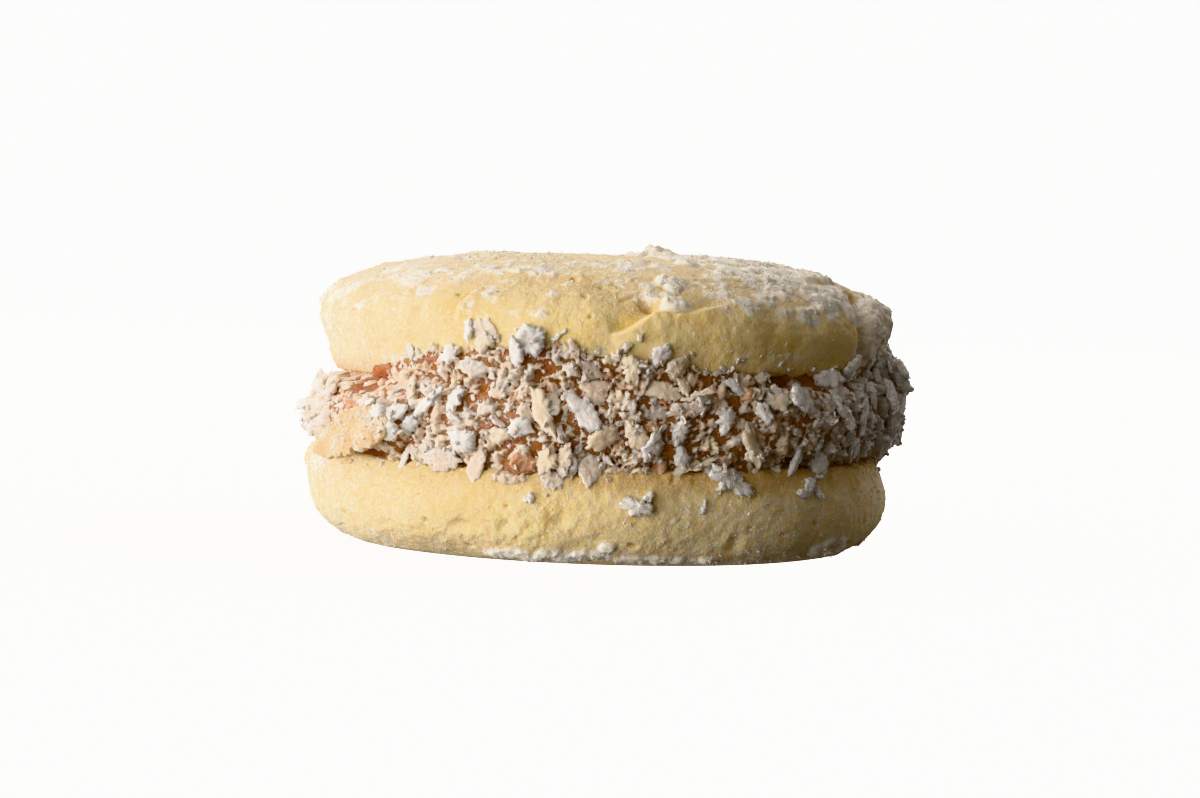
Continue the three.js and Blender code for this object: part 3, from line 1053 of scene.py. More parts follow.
class Coat:
    """The coconut's bounds on the alfajor's side, and the pile as it grows."""

    SHARE_IN_BARE_PLACES = 0.01

    def __init__(self, core, outline):
        self.pile = SideMap(core.values.copy(), core.step)
        self.outline = outline
        azimuth, height = np.meshgrid(*SideMap.cells(core.step), indexing="ij")
        self.azimuth, self.height = azimuth, height
        self.cover = smoothstep(outline.blurred(3).values, 12.0, 24.0)
        self.bare = bareness(azimuth, height)[0]
        self.clumps = 0.5 + 0.5 * fractal(around(azimuth, FILLING_RADIUS, height), 2.6, 2, 401)

    def cover_with(self, surface):
        """Raises the pile where a surface lies over it."""
        self.pile.values = np.maximum(self.pile.values, SideMap.of_surfaces(surface).values)

    def spots(self, count, rng, clumping=1.0, filling=1.0, front_share=1.0):
        """Random places in the coat: more in its clumps, and where the pile is furthest below the outline."""
        short = np.clip(self.outline.values - self.pile.values, -0.5, 1.5) + 0.6
        weight = self.cover * mix(1.0, self.clumps**2, clumping) * mix(1.0, short, filling)
        weight *= mix(1.0, front_share, smoothstep(in_front(self.azimuth), 0.0, 0.4))
        weight *= np.where(self.bare > 0.3, self.SHARE_IN_BARE_PLACES, 1.0)
        weight = np.clip(weight, 0, None).ravel()
        picks = rng.choice(weight.size, count, p=weight / weight.sum())
        jitter = rng.uniform(-0.5, 0.5, (2, count)) * self.pile.step
        azimuth = self.azimuth.ravel()[picks] + np.degrees(jitter[0] / SideMap.MEAN_RADIUS)
        return azimuth, self.height.ravel()[picks] + jitter[1]

    def stray_spots(self, count, rng):
        """Random places just outside the coat, on the biscuits' walls."""
        near = smoothstep(self.outline.blurred(30).values, 0.5, 12.0) * (1 - self.cover)
        weight = (near * (self.pile.values > LEAST_RADIUS)).ravel() + 1e-6
        picks = rng.choice(weight.size, count, p=weight / weight.sum())
        return self.azimuth.ravel()[picks], self.height.ravel()[picks]


def painted_light_and_frost_at(azimuth):
    """How much whiter the coconut is at an azimuth than elsewhere: more at the right, less in front. Partly
    frosting, partly painted light at the dark right end and painted shade in front.
    """
    return 0.9 * hill_around(azimuth, -12, 60) - 0.5 * hill_around(azimuth, -82, 55)


class Relief:
    """Coconut stuck fast in the caramel, as one rough skin: how far out it reaches, and its look there."""

    # The size of its cells, and how far it starts below the surface that it lies on, in millimetres.
    STEP = 0.1
    EMBEDDED = 0.35

    def __init__(self, core):
        self.core = core.finer(self.STEP).blurred(1)
        self.out = self.core.values - self.EMBEDDED
        self.tone = np.zeros_like(self.out)
        self.frost_and_painted_light = np.zeros_like(self.out)
        azimuth, height = np.meshgrid(*SideMap.cells(self.STEP), indexing="ij")
        place = around(azimuth, SideMap.MEAN_RADIUS, height)
        self.frayed = 0.12 * noise(place, 0.8, 431) + 0.2 * fractal(place, 0.34, 2, 432)
        self.grain = 0.1 * noise(place, 0.6, 433) + 0.11 * fractal(place, 0.28, 2, 434)

    def cells_near(self, azimuth, height, reach):
        """The cells within reach of a place, and how far each lies to the right of it and above it."""
        turns, levels = self.out.shape
        cells = int(reach / self.STEP) + 3
        middle = self.core.index(azimuth, height)
        columns = np.arange(middle[0] - cells, middle[0] + cells + 1)
        rows = np.arange(max(middle[1] - cells, 0), min(middle[1] + cells + 1, levels))
        right = ((columns - middle[0]) * self.STEP)[:, None]
        up = ((rows - middle[1]) * self.STEP)[None, :]
        return np.ix_(columns % turns, rows), right, up

    def press(self, azimuth, height, length, width, thick, spin, lean, outline, tone, frost_and_painted_light):
        """Presses a chip in. Its top follows what lies under it, but for a lean, and its edges are frayed."""
        cells, right, up = self.cells_near(azimuth, height, 0.62 * length)
        along = (right * math.cos(spin) + up * math.sin(spin)) * 2 / length
        across = (up * math.cos(spin) - right * math.sin(spin)) * 2 / width
        away = np.max([along * lengthwise + across * sideways for lengthwise, sideways in outline], axis=0)
        inside = (1 - away) * width / 2 + self.frayed[cells]
        under = np.maximum(self.out[cells], self.core.values[cells] - 0.1)
        if not (inside > 0).any():
            return
        base = np.median(under[inside > 0])
        footprint = (inside > 0) & (under > base - 0.7)
        top = base + thick + lean[0] * right + lean[1] * up + self.grain[cells]
        out = np.minimum(top, base - 0.2 + 2.2 * inside)
        higher = footprint & (out > self.out[cells])
        frosted = frost_and_painted_light + 0.35 * (inside < 0.12)
        for values, new in ((self.out, out), (self.tone, tone), (self.frost_and_painted_light, frosted)):
            values[cells] = np.where(higher, new, values[cells])

    def press_at_random(self, place, size, spin, thicks, tones, frosts, rng):
        """Presses in a chip of a size, with the rest of it random between the limits given."""
        facing, distance = random_sides((), rng)
        outline = np.stack([np.cos(facing), np.sin(facing)], -1) / distance[:, None]
        self.press(
            *place, *size, rng.uniform(*thicks), spin, rng.normal(0, 0.18, 2),
            outline, rng.uniform(*tones), rng.uniform(*frosts),
        )

    def scatter(self, spots, rng, lengths, widths, thicks, tones, frosts):
        """Presses in chips of random sizes and looks between the limits given."""
        for place in zip(*spots):
            length = rng.uniform(*lengths)
            size = length, min(rng.uniform(*widths), length)
            self.press_at_random(place, size, rng.uniform(0, np.pi), thicks, tones, frosts, rng)

    def melt_in_and_shade(self):
        """Takes the frosting off what lies low between higher chips, close to the caramel, and turns it towards
        clear flesh: partly caramel soaking in, partly painted shade, warm and darker, in the crevices. It also
        adds the painted light and shade round the coat.
        """
        low = smoothstep(SideMap(self.out, self.STEP).blurred(90).values - self.out, -0.08, 0.3)
        azimuth = SideMap.cells(self.STEP)[0][:, None]
        powder = painted_light_and_frost_at(azimuth)
        self.frost_and_painted_light += powder - 0.6 * low
        self.tone = np.maximum(self.tone * (1 - 0.35 * low), 0.6 * powder)

    def skin(self):
        """The skin, closed through the caramel, with the looks of its points."""
        heights = np.linspace(6.2, 21.4, 124)[:, None]
        azimuths = columns_dense_in_front(740, 0.5)[None, :]
        cells = self.core.index(azimuths, heights)
        out = self.out[cells]
        wall = around(azimuths, out, heights)
        low_cap = np.stack([around(azimuths[0], r, heights[0, 0]) for r in (1.0, 12.0, 20.0)])
        high_cap = np.stack([around(azimuths[0], r, heights[-1, 0]) for r in (20.0, 12.0, 1.0)])
        looks = {}
        for name, values in (("tone", self.tone), ("frost_and_painted_light", self.frost_and_painted_light)):
            caps = np.zeros((3, azimuths.size))
            looks[name] = np.concatenate([caps, values[cells], caps])
        return Skin(np.concatenate([low_cap, wall, high_cap])), looks

    def lift(self, pile):
        """Raises a coarser pile to the skin."""
        azimuth, height = np.meshgrid(*SideMap.cells(self.STEP), indexing="ij")
        pile.raise_to(azimuth, height, self.out)


# Chips that stand out at the front. Each: pixel of its middle, length, width and thickness in millimetres,
# and how far it is turned, in degrees against the clock as seen from outside.
FRONT_CHIPS = {
    "white": [
        ((527, 341), 3.7, 3.0, 1.5, 20), ((514, 352), 2.4, 1.6, 0.9, 80),
        ((461, 328), 2.4, 0.9, 0.7, 100), ((442, 355), 2.3, 1.7, 0.8, 60),
        ((420, 406), 4.8, 0.9, 0.6, 42), ((448, 400), 2.4, 1.5, 0.6, 80),
        ((583, 412), 4.7, 2.2, 0.9, -45), ((517, 428), 2.7, 1.7, 1.0, 15),
        ((663, 357), 2.3, 1.7, 0.8, 50), ((684, 432), 2.2, 1.6, 1.0, 70),
        ((654, 448), 2.6, 1.8, 0.9, 70), ((688, 459), 2.4, 1.5, 0.8, -70),
        ((730, 421), 2.3, 1.6, 0.9, 75), ((457, 442), 2.9, 2.4, 1.3, 10),
        ((745, 387), 2.3, 1.1, 0.6, -42), ((768, 413), 2.4, 1.3, 0.8, -60),
        ((556, 337), 2.2, 0.5, 0.4, 42), ((740, 482), 5.5, 1.7, 0.9, -31),
        ((808, 400), 3.7, 2.4, 1.1, -12), ((852, 414), 4.2, 1.4, 0.8, -50),
        ((808, 465), 3.0, 1.2, 0.8, 75), ((836, 464), 3.2, 2.2, 1.0, -40),
        ((829, 449), 2.0, 1.0, 0.7, 65), ((822, 485), 1.8, 1.1, 0.7, 30),
        ((815, 493), 1.4, 1.0, 0.6, 0), ((640, 508), 3.2, 1.5, 0.9, -14),
        ((652, 499), 1.3, 0.9, 0.8, 60), ((728, 490), 1.4, 0.6, 0.5, 80),
        ((710, 510), 1.5, 0.5, 0.4, 80), ((525, 500), 0.9, 0.8, 0.5, 0),
        ((373, 403), 1.7, 1.1, 0.6, 20), ((386, 410), 1.6, 1.2, 0.6, -30),
        ((397, 413), 2.2, 1.6, 0.7, 20), ((396, 430), 2.1, 1.3, 0.7, 80),
        ((406, 424), 1.9, 1.2, 0.6, 60), ((850, 380), 3.6, 2.0, 1.0, 10),
        ((872, 372), 3.2, 3.0, 1.0, 60),
    ],
    "cream": [
        ((541, 410), 4.3, 1.8, 0.8, -62), ((603, 438), 3.5, 2.2, 0.9, 24),
        ((544, 461), 2.6, 2.2, 0.9, 70), ((671, 392), 3.6, 1.7, 0.6, -8),
        ((689, 386), 2.3, 1.1, 0.5, -60), ((685, 367), 2.9, 1.7, 0.7, 30),
        ((637, 435), 2.7, 1.9, 0.8, -60), ((632, 370), 2.5, 1.8, 0.7, 100),
        ((757, 446), 4.7, 1.8, 0.8, -65), ((784, 402), 2.6, 1.8, 0.8, -20),
        ((695, 471), 5.9, 0.9, 0.6, 22), ((318, 387), 2.6, 1.1, 0.5, 105),
        ((402, 386), 2.3, 1.6, 0.6, 100), ((478, 342), 2.1, 1.6, 0.7, 60),
    ],
    "clear": [
        ((477, 332), 3.1, 2.2, 0.35, 110), ((594, 392), 2.5, 2.2, 0.35, 10),
        ((548, 481), 2.5, 1.9, 0.3, -20), ((590, 470), 2.9, 2.3, 0.5, 60),
        ((468, 466), 3.8, 1.7, 0.5, 85), ((575, 354), 2.9, 0.7, 0.4, -68),
        ((691, 411), 3.9, 1.6, 0.5, 8), ((702, 396), 2.7, 0.7, 0.3, 18),
        ((562, 460), 3.2, 1.7, 0.6, 80), ((389, 455), 3.0, 0.9, 0.4, 80),
        ((432, 460), 3.6, 2.2, 0.6, -8), ((874, 416), 3.4, 1.5, 0.7, 70),
        ((831, 493), 2.2, 1.0, 0.4, -45),
    ],
}

# Smaller chips at the front, pressed in: from what to what their thickness runs, and for each the pixel of
# its middle, length and width in millimetres, and the turn.
PRESSED_THICKNESS = (0.3, 0.55)
PRESSED_CHIPS = {
    "white": [
        ((430, 371), 1.3, 1.0, 30), ((386, 376), 1.8, 1.3, 80), ((384, 394), 1.9, 0.9, 55),
        ((417, 392), 2.0, 1.1, 50), ((413, 380), 0.8, 0.5, 90), ((363, 400), 1.6, 1.3, 40),
        ((374, 404), 1.5, 1.2, 0), ((405, 403), 1.5, 1.2, 40), ((396, 419), 1.7, 1.0, 0),
        ((421, 436), 1.4, 1.0, 60), ((430, 444), 1.1, 0.9, 60), ((440, 448), 1.1, 0.9, 0),
        ((463, 415), 1.6, 1.0, 10), ((335, 386), 2.2, 1.1, 80), ((421, 450), 1.8, 0.9, 20),
        ((411, 447), 1.3, 1.0, 60), ((462, 366), 3.2, 2.2, -10), ((498, 387), 2.4, 2.1, 40),
        ((520, 382), 1.2, 1.1, 0), ((478, 411), 2.4, 1.7, 20), ((504, 410), 1.5, 0.9, 30),
        ((488, 457), 1.5, 1.2, 10), ((542, 440), 1.3, 1.1, 0), ((564, 440), 1.2, 1.1, 50),
        ((560, 387), 2.1, 0.8, 80), ((568, 372), 2.3, 1.6, -30), ((586, 375), 1.6, 1.3, 20),
        ((618, 356), 1.5, 1.2, 80), ((632, 407), 1.7, 1.2, 30), ((628, 347), 1.4, 1.0, 30),
        ((652, 372), 2.1, 1.6, 20), ((663, 413), 2.1, 1.4, -20), ((648, 410), 1.3, 0.9, -40),
        ((703, 441), 1.2, 0.8, 50), ((703, 453), 0.8, 0.6, 0), ((740, 372), 1.1, 0.8, 60),
        ((753, 411), 1.7, 1.2, 20), ((741, 443), 1.8, 1.4, 20), ((781, 380), 1.9, 1.1, 70),
        ((829, 386), 2.5, 1.2, -15), ((858, 393), 3.2, 1.5, -10), ((861, 407), 1.3, 0.7, 80),
        ((862, 455), 1.6, 1.0, -60), ((825, 432), 0.7, 0.6, 0), ((784, 470), 1.0, 0.8, 40),
        ((793, 473), 0.9, 0.7, 0), ((837, 478), 1.4, 0.8, 60), ((664, 460), 1.6, 1.2, -40),
    ],
    "cream": [
        ((441, 384), 1.9, 1.0, 65), ((447, 420), 1.3, 0.9, 20), ((494, 435), 3.4, 1.7, 0),
        ((608, 362), 1.4, 1.0, 0), ((612, 414), 1.5, 1.2, 30), ((656, 430), 1.2, 1.1, 0),
        ((722, 448), 1.4, 0.9, -60), ((726, 455), 1.3, 0.5, 50), ((845, 450), 2.2, 1.7, 0),
        ((643, 339), 1.8, 0.8, 35), ((645, 473), 2.6, 1.1, -5), ((800, 412), 2.4, 1.1, 0),
    ],
    "clear": [
        ((364, 382), 1.6, 0.5, 80), ((346, 383), 1.3, 1.0, 80), ((392, 405), 1.5, 1.3, 0),
        ((396, 433), 1.8, 1.2, 80), ((411, 433), 2.1, 1.0, 80), ((430, 415), 1.8, 1.1, 70),
        ((340, 403), 2.1, 1.7, 20), ((414, 366), 1.3, 0.6, 80), ((425, 375), 1.3, 0.6, 70),
        ((516, 461), 2.9, 2.5, 30), ((620, 450), 1.7, 1.2, 0), ((622, 472), 3.4, 1.5, 0),
        ((500, 480), 4.4, 1.3, 0), ((702, 369), 1.0, 0.7, -20), ((649, 387), 1.4, 0.9, 60),
        ((635, 388), 1.3, 0.9, 60), ((700, 381), 1.9, 1.6, 0), ((667, 470), 1.9, 1.3, 60),
        ((712, 450), 1.3, 1.0, 0), ((716, 424), 1.7, 0.9, 60), ((730, 397), 2.3, 0.9, 75),
        ((760, 384), 2.1, 1.3, 10), ((757, 398), 1.6, 1.4, 0), ((746, 425), 1.9, 1.1, 45),
        ((735, 462), 2.2, 1.4, -10), ((836, 424), 2.3, 1.6, 60), ((778, 425), 2.0, 1.3, -70),
        ((791, 446), 2.7, 1.5, 75), ((776, 446), 1.8, 0.9, 60), ((815, 446), 1.8, 1.4, 20),
        ((808, 429), 1.0, 0.4, 60), ((522, 392), 1.5, 1.1, 0),
    ],
}


# Chips that stand out at the two ends of the view: azimuth in degrees, height, length, width and thickness in
# millimetres, how far turned against the clock, and how far they lean out, both in degrees.
SIDE_CHIPS = [
    (181.0, 14.1, 2.8, 1.2, 0.5, 90, 60),
    (186.0, 12.6, 1.7, 1.4, 0.6, 40, 45),
    (180.0, 11.4, 1.8, 1.5, 0.8, 70, 40),
    (184.0, 10.2, 1.5, 1.2, 0.7, 10, 35),
    (189.0, 14.8, 2.0, 1.3, 0.5, 100, 30),
    (-3.0, 14.2, 6.2, 2.8, 1.3, 92, 7),
    (-9.0, 12.8, 5.0, 2.6, 1.2, 84, 6),
    (3.0, 13.0, 5.2, 2.6, 1.1, 95, 7),
    (-2.0, 11.2, 2.6, 2.2, 1.2, 40, 10),
    (-4.0, 16.8, 2.8, 2.2, 1.2, 70, 10),
    (-14.0, 15.4, 3.2, 2.4, 0.9, 60, 12),
    (-5.0, 17.8, 2.8, 1.8, 0.7, 20, 20),
]


def side_chips(rng):
    """The chips that stand out at the sides, and where they lie."""
    azimuths, heights, lengths, widths, thicknesses, turns, leans = np.array(SIDE_CHIPS).T
    chips = Chips(lengths, widths, thicknesses, rings=8, segments=44, ragged=1.0, rng=rng)
    chips.turn(np.radians(turns), np.radians(leans), rng.uniform(-0.5, 0.5, len(turns)))
    return chips, (azimuths, heights)


# Kinds of coconut: from what to what their tone runs (0 for clear flesh, 0.6 for cream and 1 for white), and
# from what to what they are frosted.
KINDS = {
    "snowy": ((0.9, 1.0), (1.0, 1.35)),
    "white": ((0.75, 1.0), (-0.05, 0.5)),
    "cream": ((0.5, 0.68), (0.1, 0.5)),
    "pale": ((0.26, 0.42), (-0.1, 0.35)),
    "dusted": ((0.3, 0.5), (0.4, 0.8)),
    "clear": ((0.0, 0.35), (-0.25, 0.2)),
}


def front_chips(kind, rng):
    """The chips of one kind that stand out at the front, and where they lie."""
    pixels, *sizes, turns = zip(*FRONT_CHIPS[kind])
    chips = Chips(*np.array(sizes), rings=8, segments=52, ragged=1.0, rng=rng)
    count = len(pixels)
    chips.bend(rng.normal(0, 0.03, count), rng.normal(0, 0.05, count))
    chips.turn(np.radians(turns), np.radians(rng.normal(0, 8, count)), rng.uniform(0, 2 * np.pi, count))
    azimuths, heights = zip(*[on_cylinder(p) for p in pixels])
    return chips, (azimuths, heights)


def pressed_coconut(coat, material):
    """Most of the coat: small chips stuck fast in the caramel."""
    rng = np.random.default_rng(6)
    relief = Relief(coat.pile)
    clear, cream, white = KINDS["clear"], KINDS["cream"], KINDS["white"]

    def scatter(count, lengths, widths, thicks, kind, **where):
        relief.scatter(coat.spots(count, rng, **where), rng, lengths, widths, thicks, *kind)

    scatter(3000, (0.5, 1.6), (0.4, 1.1), (0.06, 0.20), clear, clumping=0.1, filling=0.0)
    scatter(6500, (0.25, 0.8), (0.2, 0.6), (0.04, 0.18), clear, clumping=0.0, filling=0.0)
    # Azimuths and heights of slabs at the right end, and of chips behind the strip of crust.
    slab_spots = rng.uniform(-15, 4, 22), rng.uniform(10.2, 19.2, 22)
    relief.scatter(slab_spots, rng, (2.0, 4.0), (1.4, 2.6), (0.3, 0.7), *white)
    behind_strip = rng.uniform(184, 204, 36), rng.uniform(10.2, 13.8, 36)
    relief.scatter(behind_strip, rng, (1.2, 2.6), (0.9, 1.8), (0.3, 0.7), *white)
    scatter(2300, (0.3, 1.0), (0.25, 0.6), (0.10, 0.26), white, clumping=0.8, filling=0.0)
    scatter(240, (0.7, 1.9), (0.6, 1.3), (0.20, 0.40), cream, front_share=0.5)
    scatter(560, (0.7, 2.0), (0.4, 1.2), (0.20, 0.45), white, front_share=0.5)
    scatter(900, (0.5, 1.5), (0.4, 1.1), (0.15, 0.30), KINDS["pale"], front_share=0.7)
    for kind, placed in PRESSED_CHIPS.items():
        for pixel, length, width, turn in placed:
            place, spin = on_cylinder(pixel), math.radians(turn)
            relief.press_at_random(place, (length, width), spin, PRESSED_THICKNESS, *KINDS[kind], rng)
    scatter(1500, (0.2, 0.6), (0.2, 0.4), (0.10, 0.28), white, filling=0.0)
    relief.melt_in_and_shade()
    skin, looks = relief.skin()
    make_skin_piece("coconut_coat", skin, looks, material)
    relief.lift(coat.pile)


# Batches of loose flakes: kind, count, from what to what their lengths, widths and thicknesses run, rings,
# segments, how ragged, how far they lean in degrees, how deep they sink in millimetres, and how many of them
# lie in front, as a share of those elsewhere.
LOOSE_FLAKES = [
    ("clear", 40, (1.2, 2.6), (0.8, 1.8), (0.12, 0.25), 4, 20, 0.7, 12, 0.05, 0.12),
    ("cream", 40, (1.0, 2.2), (0.7, 1.4), (0.2, 0.5), 4, 20, 1.0, 20, 0.06, 0.12),
    ("white", 110, (0.9, 2.0), (0.5, 1.2), (0.2, 0.5), 4, 20, 1.0, 28, 0.06, 0.4),
    ("cream", 12, (2.2, 3.4), (1.0, 1.7), (0.25, 0.55), 5, 32, 1.0, 12, 0.05, 0.12),
    ("white", 24, (2.2, 3.8), (1.0, 2.1), (0.3, 0.7), 5, 32, 1.0, 14, 0.05, 0.12),
]
# Batches of crumbs: the same but for the kind and the share, and whether they have strayed from the coat.
LOOSE_CRUMBS = [
    (700, (0.3, 0.9), (0.25, 0.7), (0.2, 0.4), 2, 8, 0.6, 35, 0.1, False),
    (90, (0.3, 0.9), (0.2, 0.6), (0.2, 0.4), 2, 8, 0.6, 20, 0.04, True),
    (1200, (0.1, 0.3), (0.1, 0.25), (0.1, 0.2), 1, 5, 0.2, 40, 0.03, False),
    (450, (0.1, 0.3), (0.1, 0.25), (0.1, 0.2), 1, 5, 0.2, 20, 0.02, True),
]
# What each kind of placed chip at the front looks like, and how many grains stick to all of that kind.
FRONT_LOOKS = [("clear", "dusted", 200), ("cream", "cream", 400), ("white", "snowy", 1500)]
SIDE_GRAINS = 600
PLACED_SINK = 0.1


def lay_down(heap, kind, chips, sink, spots, coat, rng):
    """Lays chips of a kind on the coat. Those that come to lie low between others have little frosting and
    clearer flesh: partly caramel on them, partly painted shade in the crevices. Their whiteness also follows
    the painted light and shade round the coat.
    """
    azimuths, heights = spots
    count = len(chips.points)
    lay(chips, azimuths, heights, coat.pile, sink)
    tones, frosts = KINDS[kind]
    furthest_out = np.hypot(chips.points[..., 0], chips.points[..., 1]).max(1)
    # Chips lying low between others get less frosting and clearer flesh: painted shade in the crevices.
    low = smoothstep(coat.pile.blurred(8).at(azimuths, heights) - furthest_out, -0.15, 0.3)
    tone = rng.uniform(*tones, count) * (1 - 0.35 * low)
    frost_and_painted_light = rng.uniform(*frosts, count) - 0.6 * low + painted_light_and_frost_at(np.asarray(azimuths))
    heap.add(chips, tone, frost_and_painted_light)


def frosting(chips, count, crumbs, rng):
    """Adds grains that stick to chips, most at their edges."""
    sizes = (0.1, 0.3), (0.1, 0.24), (0.1, 0.22)
    grains = chips_of(count, *sizes, rings=1, segments=5, ragged=0.3, rng=rng, lean=50)
    grains.points += chips.places_on(count, rng)[:, None]
    crumbs.add(grains, rng.uniform(0.8, 1.0, count), rng.uniform(0.4, 1.1, count))


def loose_coconut(coat, material, crumb_material):
    """Flakes and crumbs that lie on the coat and stand out from it."""
    rng = np.random.default_rng(7)
    flakes = Heap("coconut_shreds", material)
    crumbs = Heap("coconut_crumbs", crumb_material, smooth=False)
    for kind, count, *shape, lean, sink, front_share in LOOSE_FLAKES:
        chips = chips_of(count, *shape, rng, lean)
        lay_down(flakes, kind, chips, sink, coat.spots(count, rng, front_share=front_share), coat, rng)
    for kind, look, grains in FRONT_LOOKS:
        chips, spots = front_chips(kind, rng)
        lay_down(flakes, look, chips, PLACED_SINK, spots, coat, rng)
        frosting(chips, grains, crumbs, rng)
    chips, spots = side_chips(rng)
    lay_down(flakes, "snowy", chips, PLACED_SINK, spots, coat, rng)
    frosting(chips, SIDE_GRAINS, crumbs, rng)
    for count, *shape, lean, sink, strayed in LOOSE_CRUMBS:
        chips = chips_of(count, *shape, rng, lean)
        spots = coat.stray_spots(count, rng) if strayed else coat.spots(count, rng, filling=0.0)
        lay_down(crumbs, "white", chips, sink, spots, coat, rng)
    flakes.make()
    crumbs.make()


def loose_dust(skins, material):
    """Grains of dust that lie loose on the biscuits, most where it is thick. skins: skin, dust and count."""
    rng = np.random.default_rng(8)
    heap = Heap("loose_dust", material, smooth=False)
    for skin, dust, count in skins:
        grid = skin.grid
        across = np.linalg.norm(np.roll(grid, -1, 1) - grid, axis=-1)
        along = np.linalg.norm(np.gradient(grid, axis=0), axis=-1)
        clumps = smoothstep(noise(grid, 0.8, 601), -0.2, 0.5)
        weight = across * along * (0.03 + dust**1.5 * (0.15 + 0.85 * clumps)) * (grid[..., 2] > 0.25)
        picks = rng.choice(weight.size, count, p=(weight / weight.sum()).ravel())
        sizes = (0.07, 0.17), (0.06, 0.14), (0.06, 0.14)
        chips = chips_of(count, *sizes, rings=1, segments=5, ragged=0.4, rng=rng, lean=50)
        chips.points *= rng.uniform(0.7, 1.6, (count, 1, 1)) ** 1.3
        centres = grid.reshape(-1, 3)[picks] + 0.03 * skin.normals().reshape(-1, 3)[picks]
        chips.points += centres[:, None] + rng.uniform(-0.08, 0.08, (count, 1, 3))
        chips.points[..., 2] = np.maximum(chips.points[..., 2], 0.0)
        heap.add(chips, np.ones(count), np.ones(count))
    heap.make()


# ---------------------------------------------------------------- the torn strip of crust

# The strip's outline, in pixels, from its hinge on the biscuit's rim and round against the clock.
CRUST_OUTLINE = [
    (308, 451), (318, 457), (330, 457), (342, 454), (352, 448.5), (366, 449), (377, 445), (386, 437),
    (390, 426), (386, 413), (373, 406), (359, 406), (346, 413.5), (330, 425), (314, 439),
]
# The lump at its far end: the pixel that it shows at, and its radius in millimetres.
CRUST_LUMP = (377, 434)
CRUST_LUMP_RADIUS = 2.4


def strip_outline():
    """The strip's outline, unrolled: how far round from the view's left end, and how high, in millimetres."""
    outline = np.array([on_cylinder(p, STRIP_RADIUS) for p in CRUST_OUTLINE])
    outline[:, 0] = np.radians((outline[:, 0] - LEFT) % 360) * STRIP_RADIUS
    return outline


def stretched_to(outline, chip):
    """How far round and how high a round chip's points lie once it fills an outline, with torn edges."""
    middle = outline.mean(0)
    corner_turns = np.arctan2(*(outline - middle).T[::-1]) % (2 * np.pi)
    order = np.argsort(corner_turns)
    corner_reach = np.linalg.norm(outline - middle, axis=1)
    turn = np.arctan2(chip.points[0, :, 1], chip.points[0, :, 0]) % (2 * np.pi)
    reach = np.interp(turn, corner_turns[order], corner_reach[order], period=2 * np.pi)
    flat = np.stack([reach * np.cos(turn), reach * np.sin(turn), 0 * turn], -1)
    torn_edge = mix(0.12, 0.5, smoothstep(-np.sin(turn), -0.2, 0.3))
    reach = reach + torn_edge * chip.edge * fractal(flat, 0.9, 3, 501)
    return middle[0] + chip.edge * reach * np.cos(turn), middle[1] + chip.edge * reach * np.sin(turn)


def crust_strip(material):
    """The strip, as one rough chip with that outline, bent round the side where its node is."""
    outline = strip_outline()
    size = np.array([2.0])
    chip = Chips(size, size, size / 2, rings=34, segments=220, ragged=0.0, rng=np.random.default_rng(9))
    away, height = stretched_to(outline, chip)
    side = np.sign(chip.points[0, :, 2])
    thickness = 0.36 * np.sqrt(np.clip(1 - chip.edge**14, 0, 1))
    along = smoothstep(away, outline[:, 0].min(), outline[:, 0].max())
    radius = 28.75 + 0.6 * along**2 + side * thickness
    laid = around(LEFT + np.degrees(away / STRIP_RADIUS), radius, height)
    pits = dimples(laid, 0.9, 0.34, 0.6, 508)
    lump_height = on_cylinder(CRUST_LUMP, STRIP_RADIUS)[1]
    lump = hill(np.hypot(laid[:, 2] - lump_height, away - np.quantile(away, 0.97)) / CRUST_LUMP_RADIUS)
    rough = 0.16 * fractal(laid, 2.2, 2, 503) + 0.22 * np.abs(noise(laid, 0.6, 505))
    rough += 0.14 * noise(laid, 0.36, 506)
    rough += lump * (0.3 + 0.3 * fractal(laid, 0.9, 2, 509)) - 0.22 * pits
    swelling = side * rough * np.sqrt(np.clip(1 - chip.edge**10, 0, 1))
    laid = laid + swelling[:, None] * outwards_at(azimuth_of(laid))
    quads, fans = chip.faces()
    corners = np.concatenate(chip.bake_corners())
    dust = 0.15 + 0.45 * fractal(laid, 1.6, 2, 507) + 0.2 * lump - 0.3 * pits
    # The pits get less dust and painted shade, a deeper yellow.
    values = {"dust": dust, "hollow": 0.7 * pits}
    make_piece("crust_strip", laid, [quads, fans], values, corners, material, ["crust_chip"])
    return Surface(laid, [*quads, *fans])


# ---------------------------------------------------------------- materials


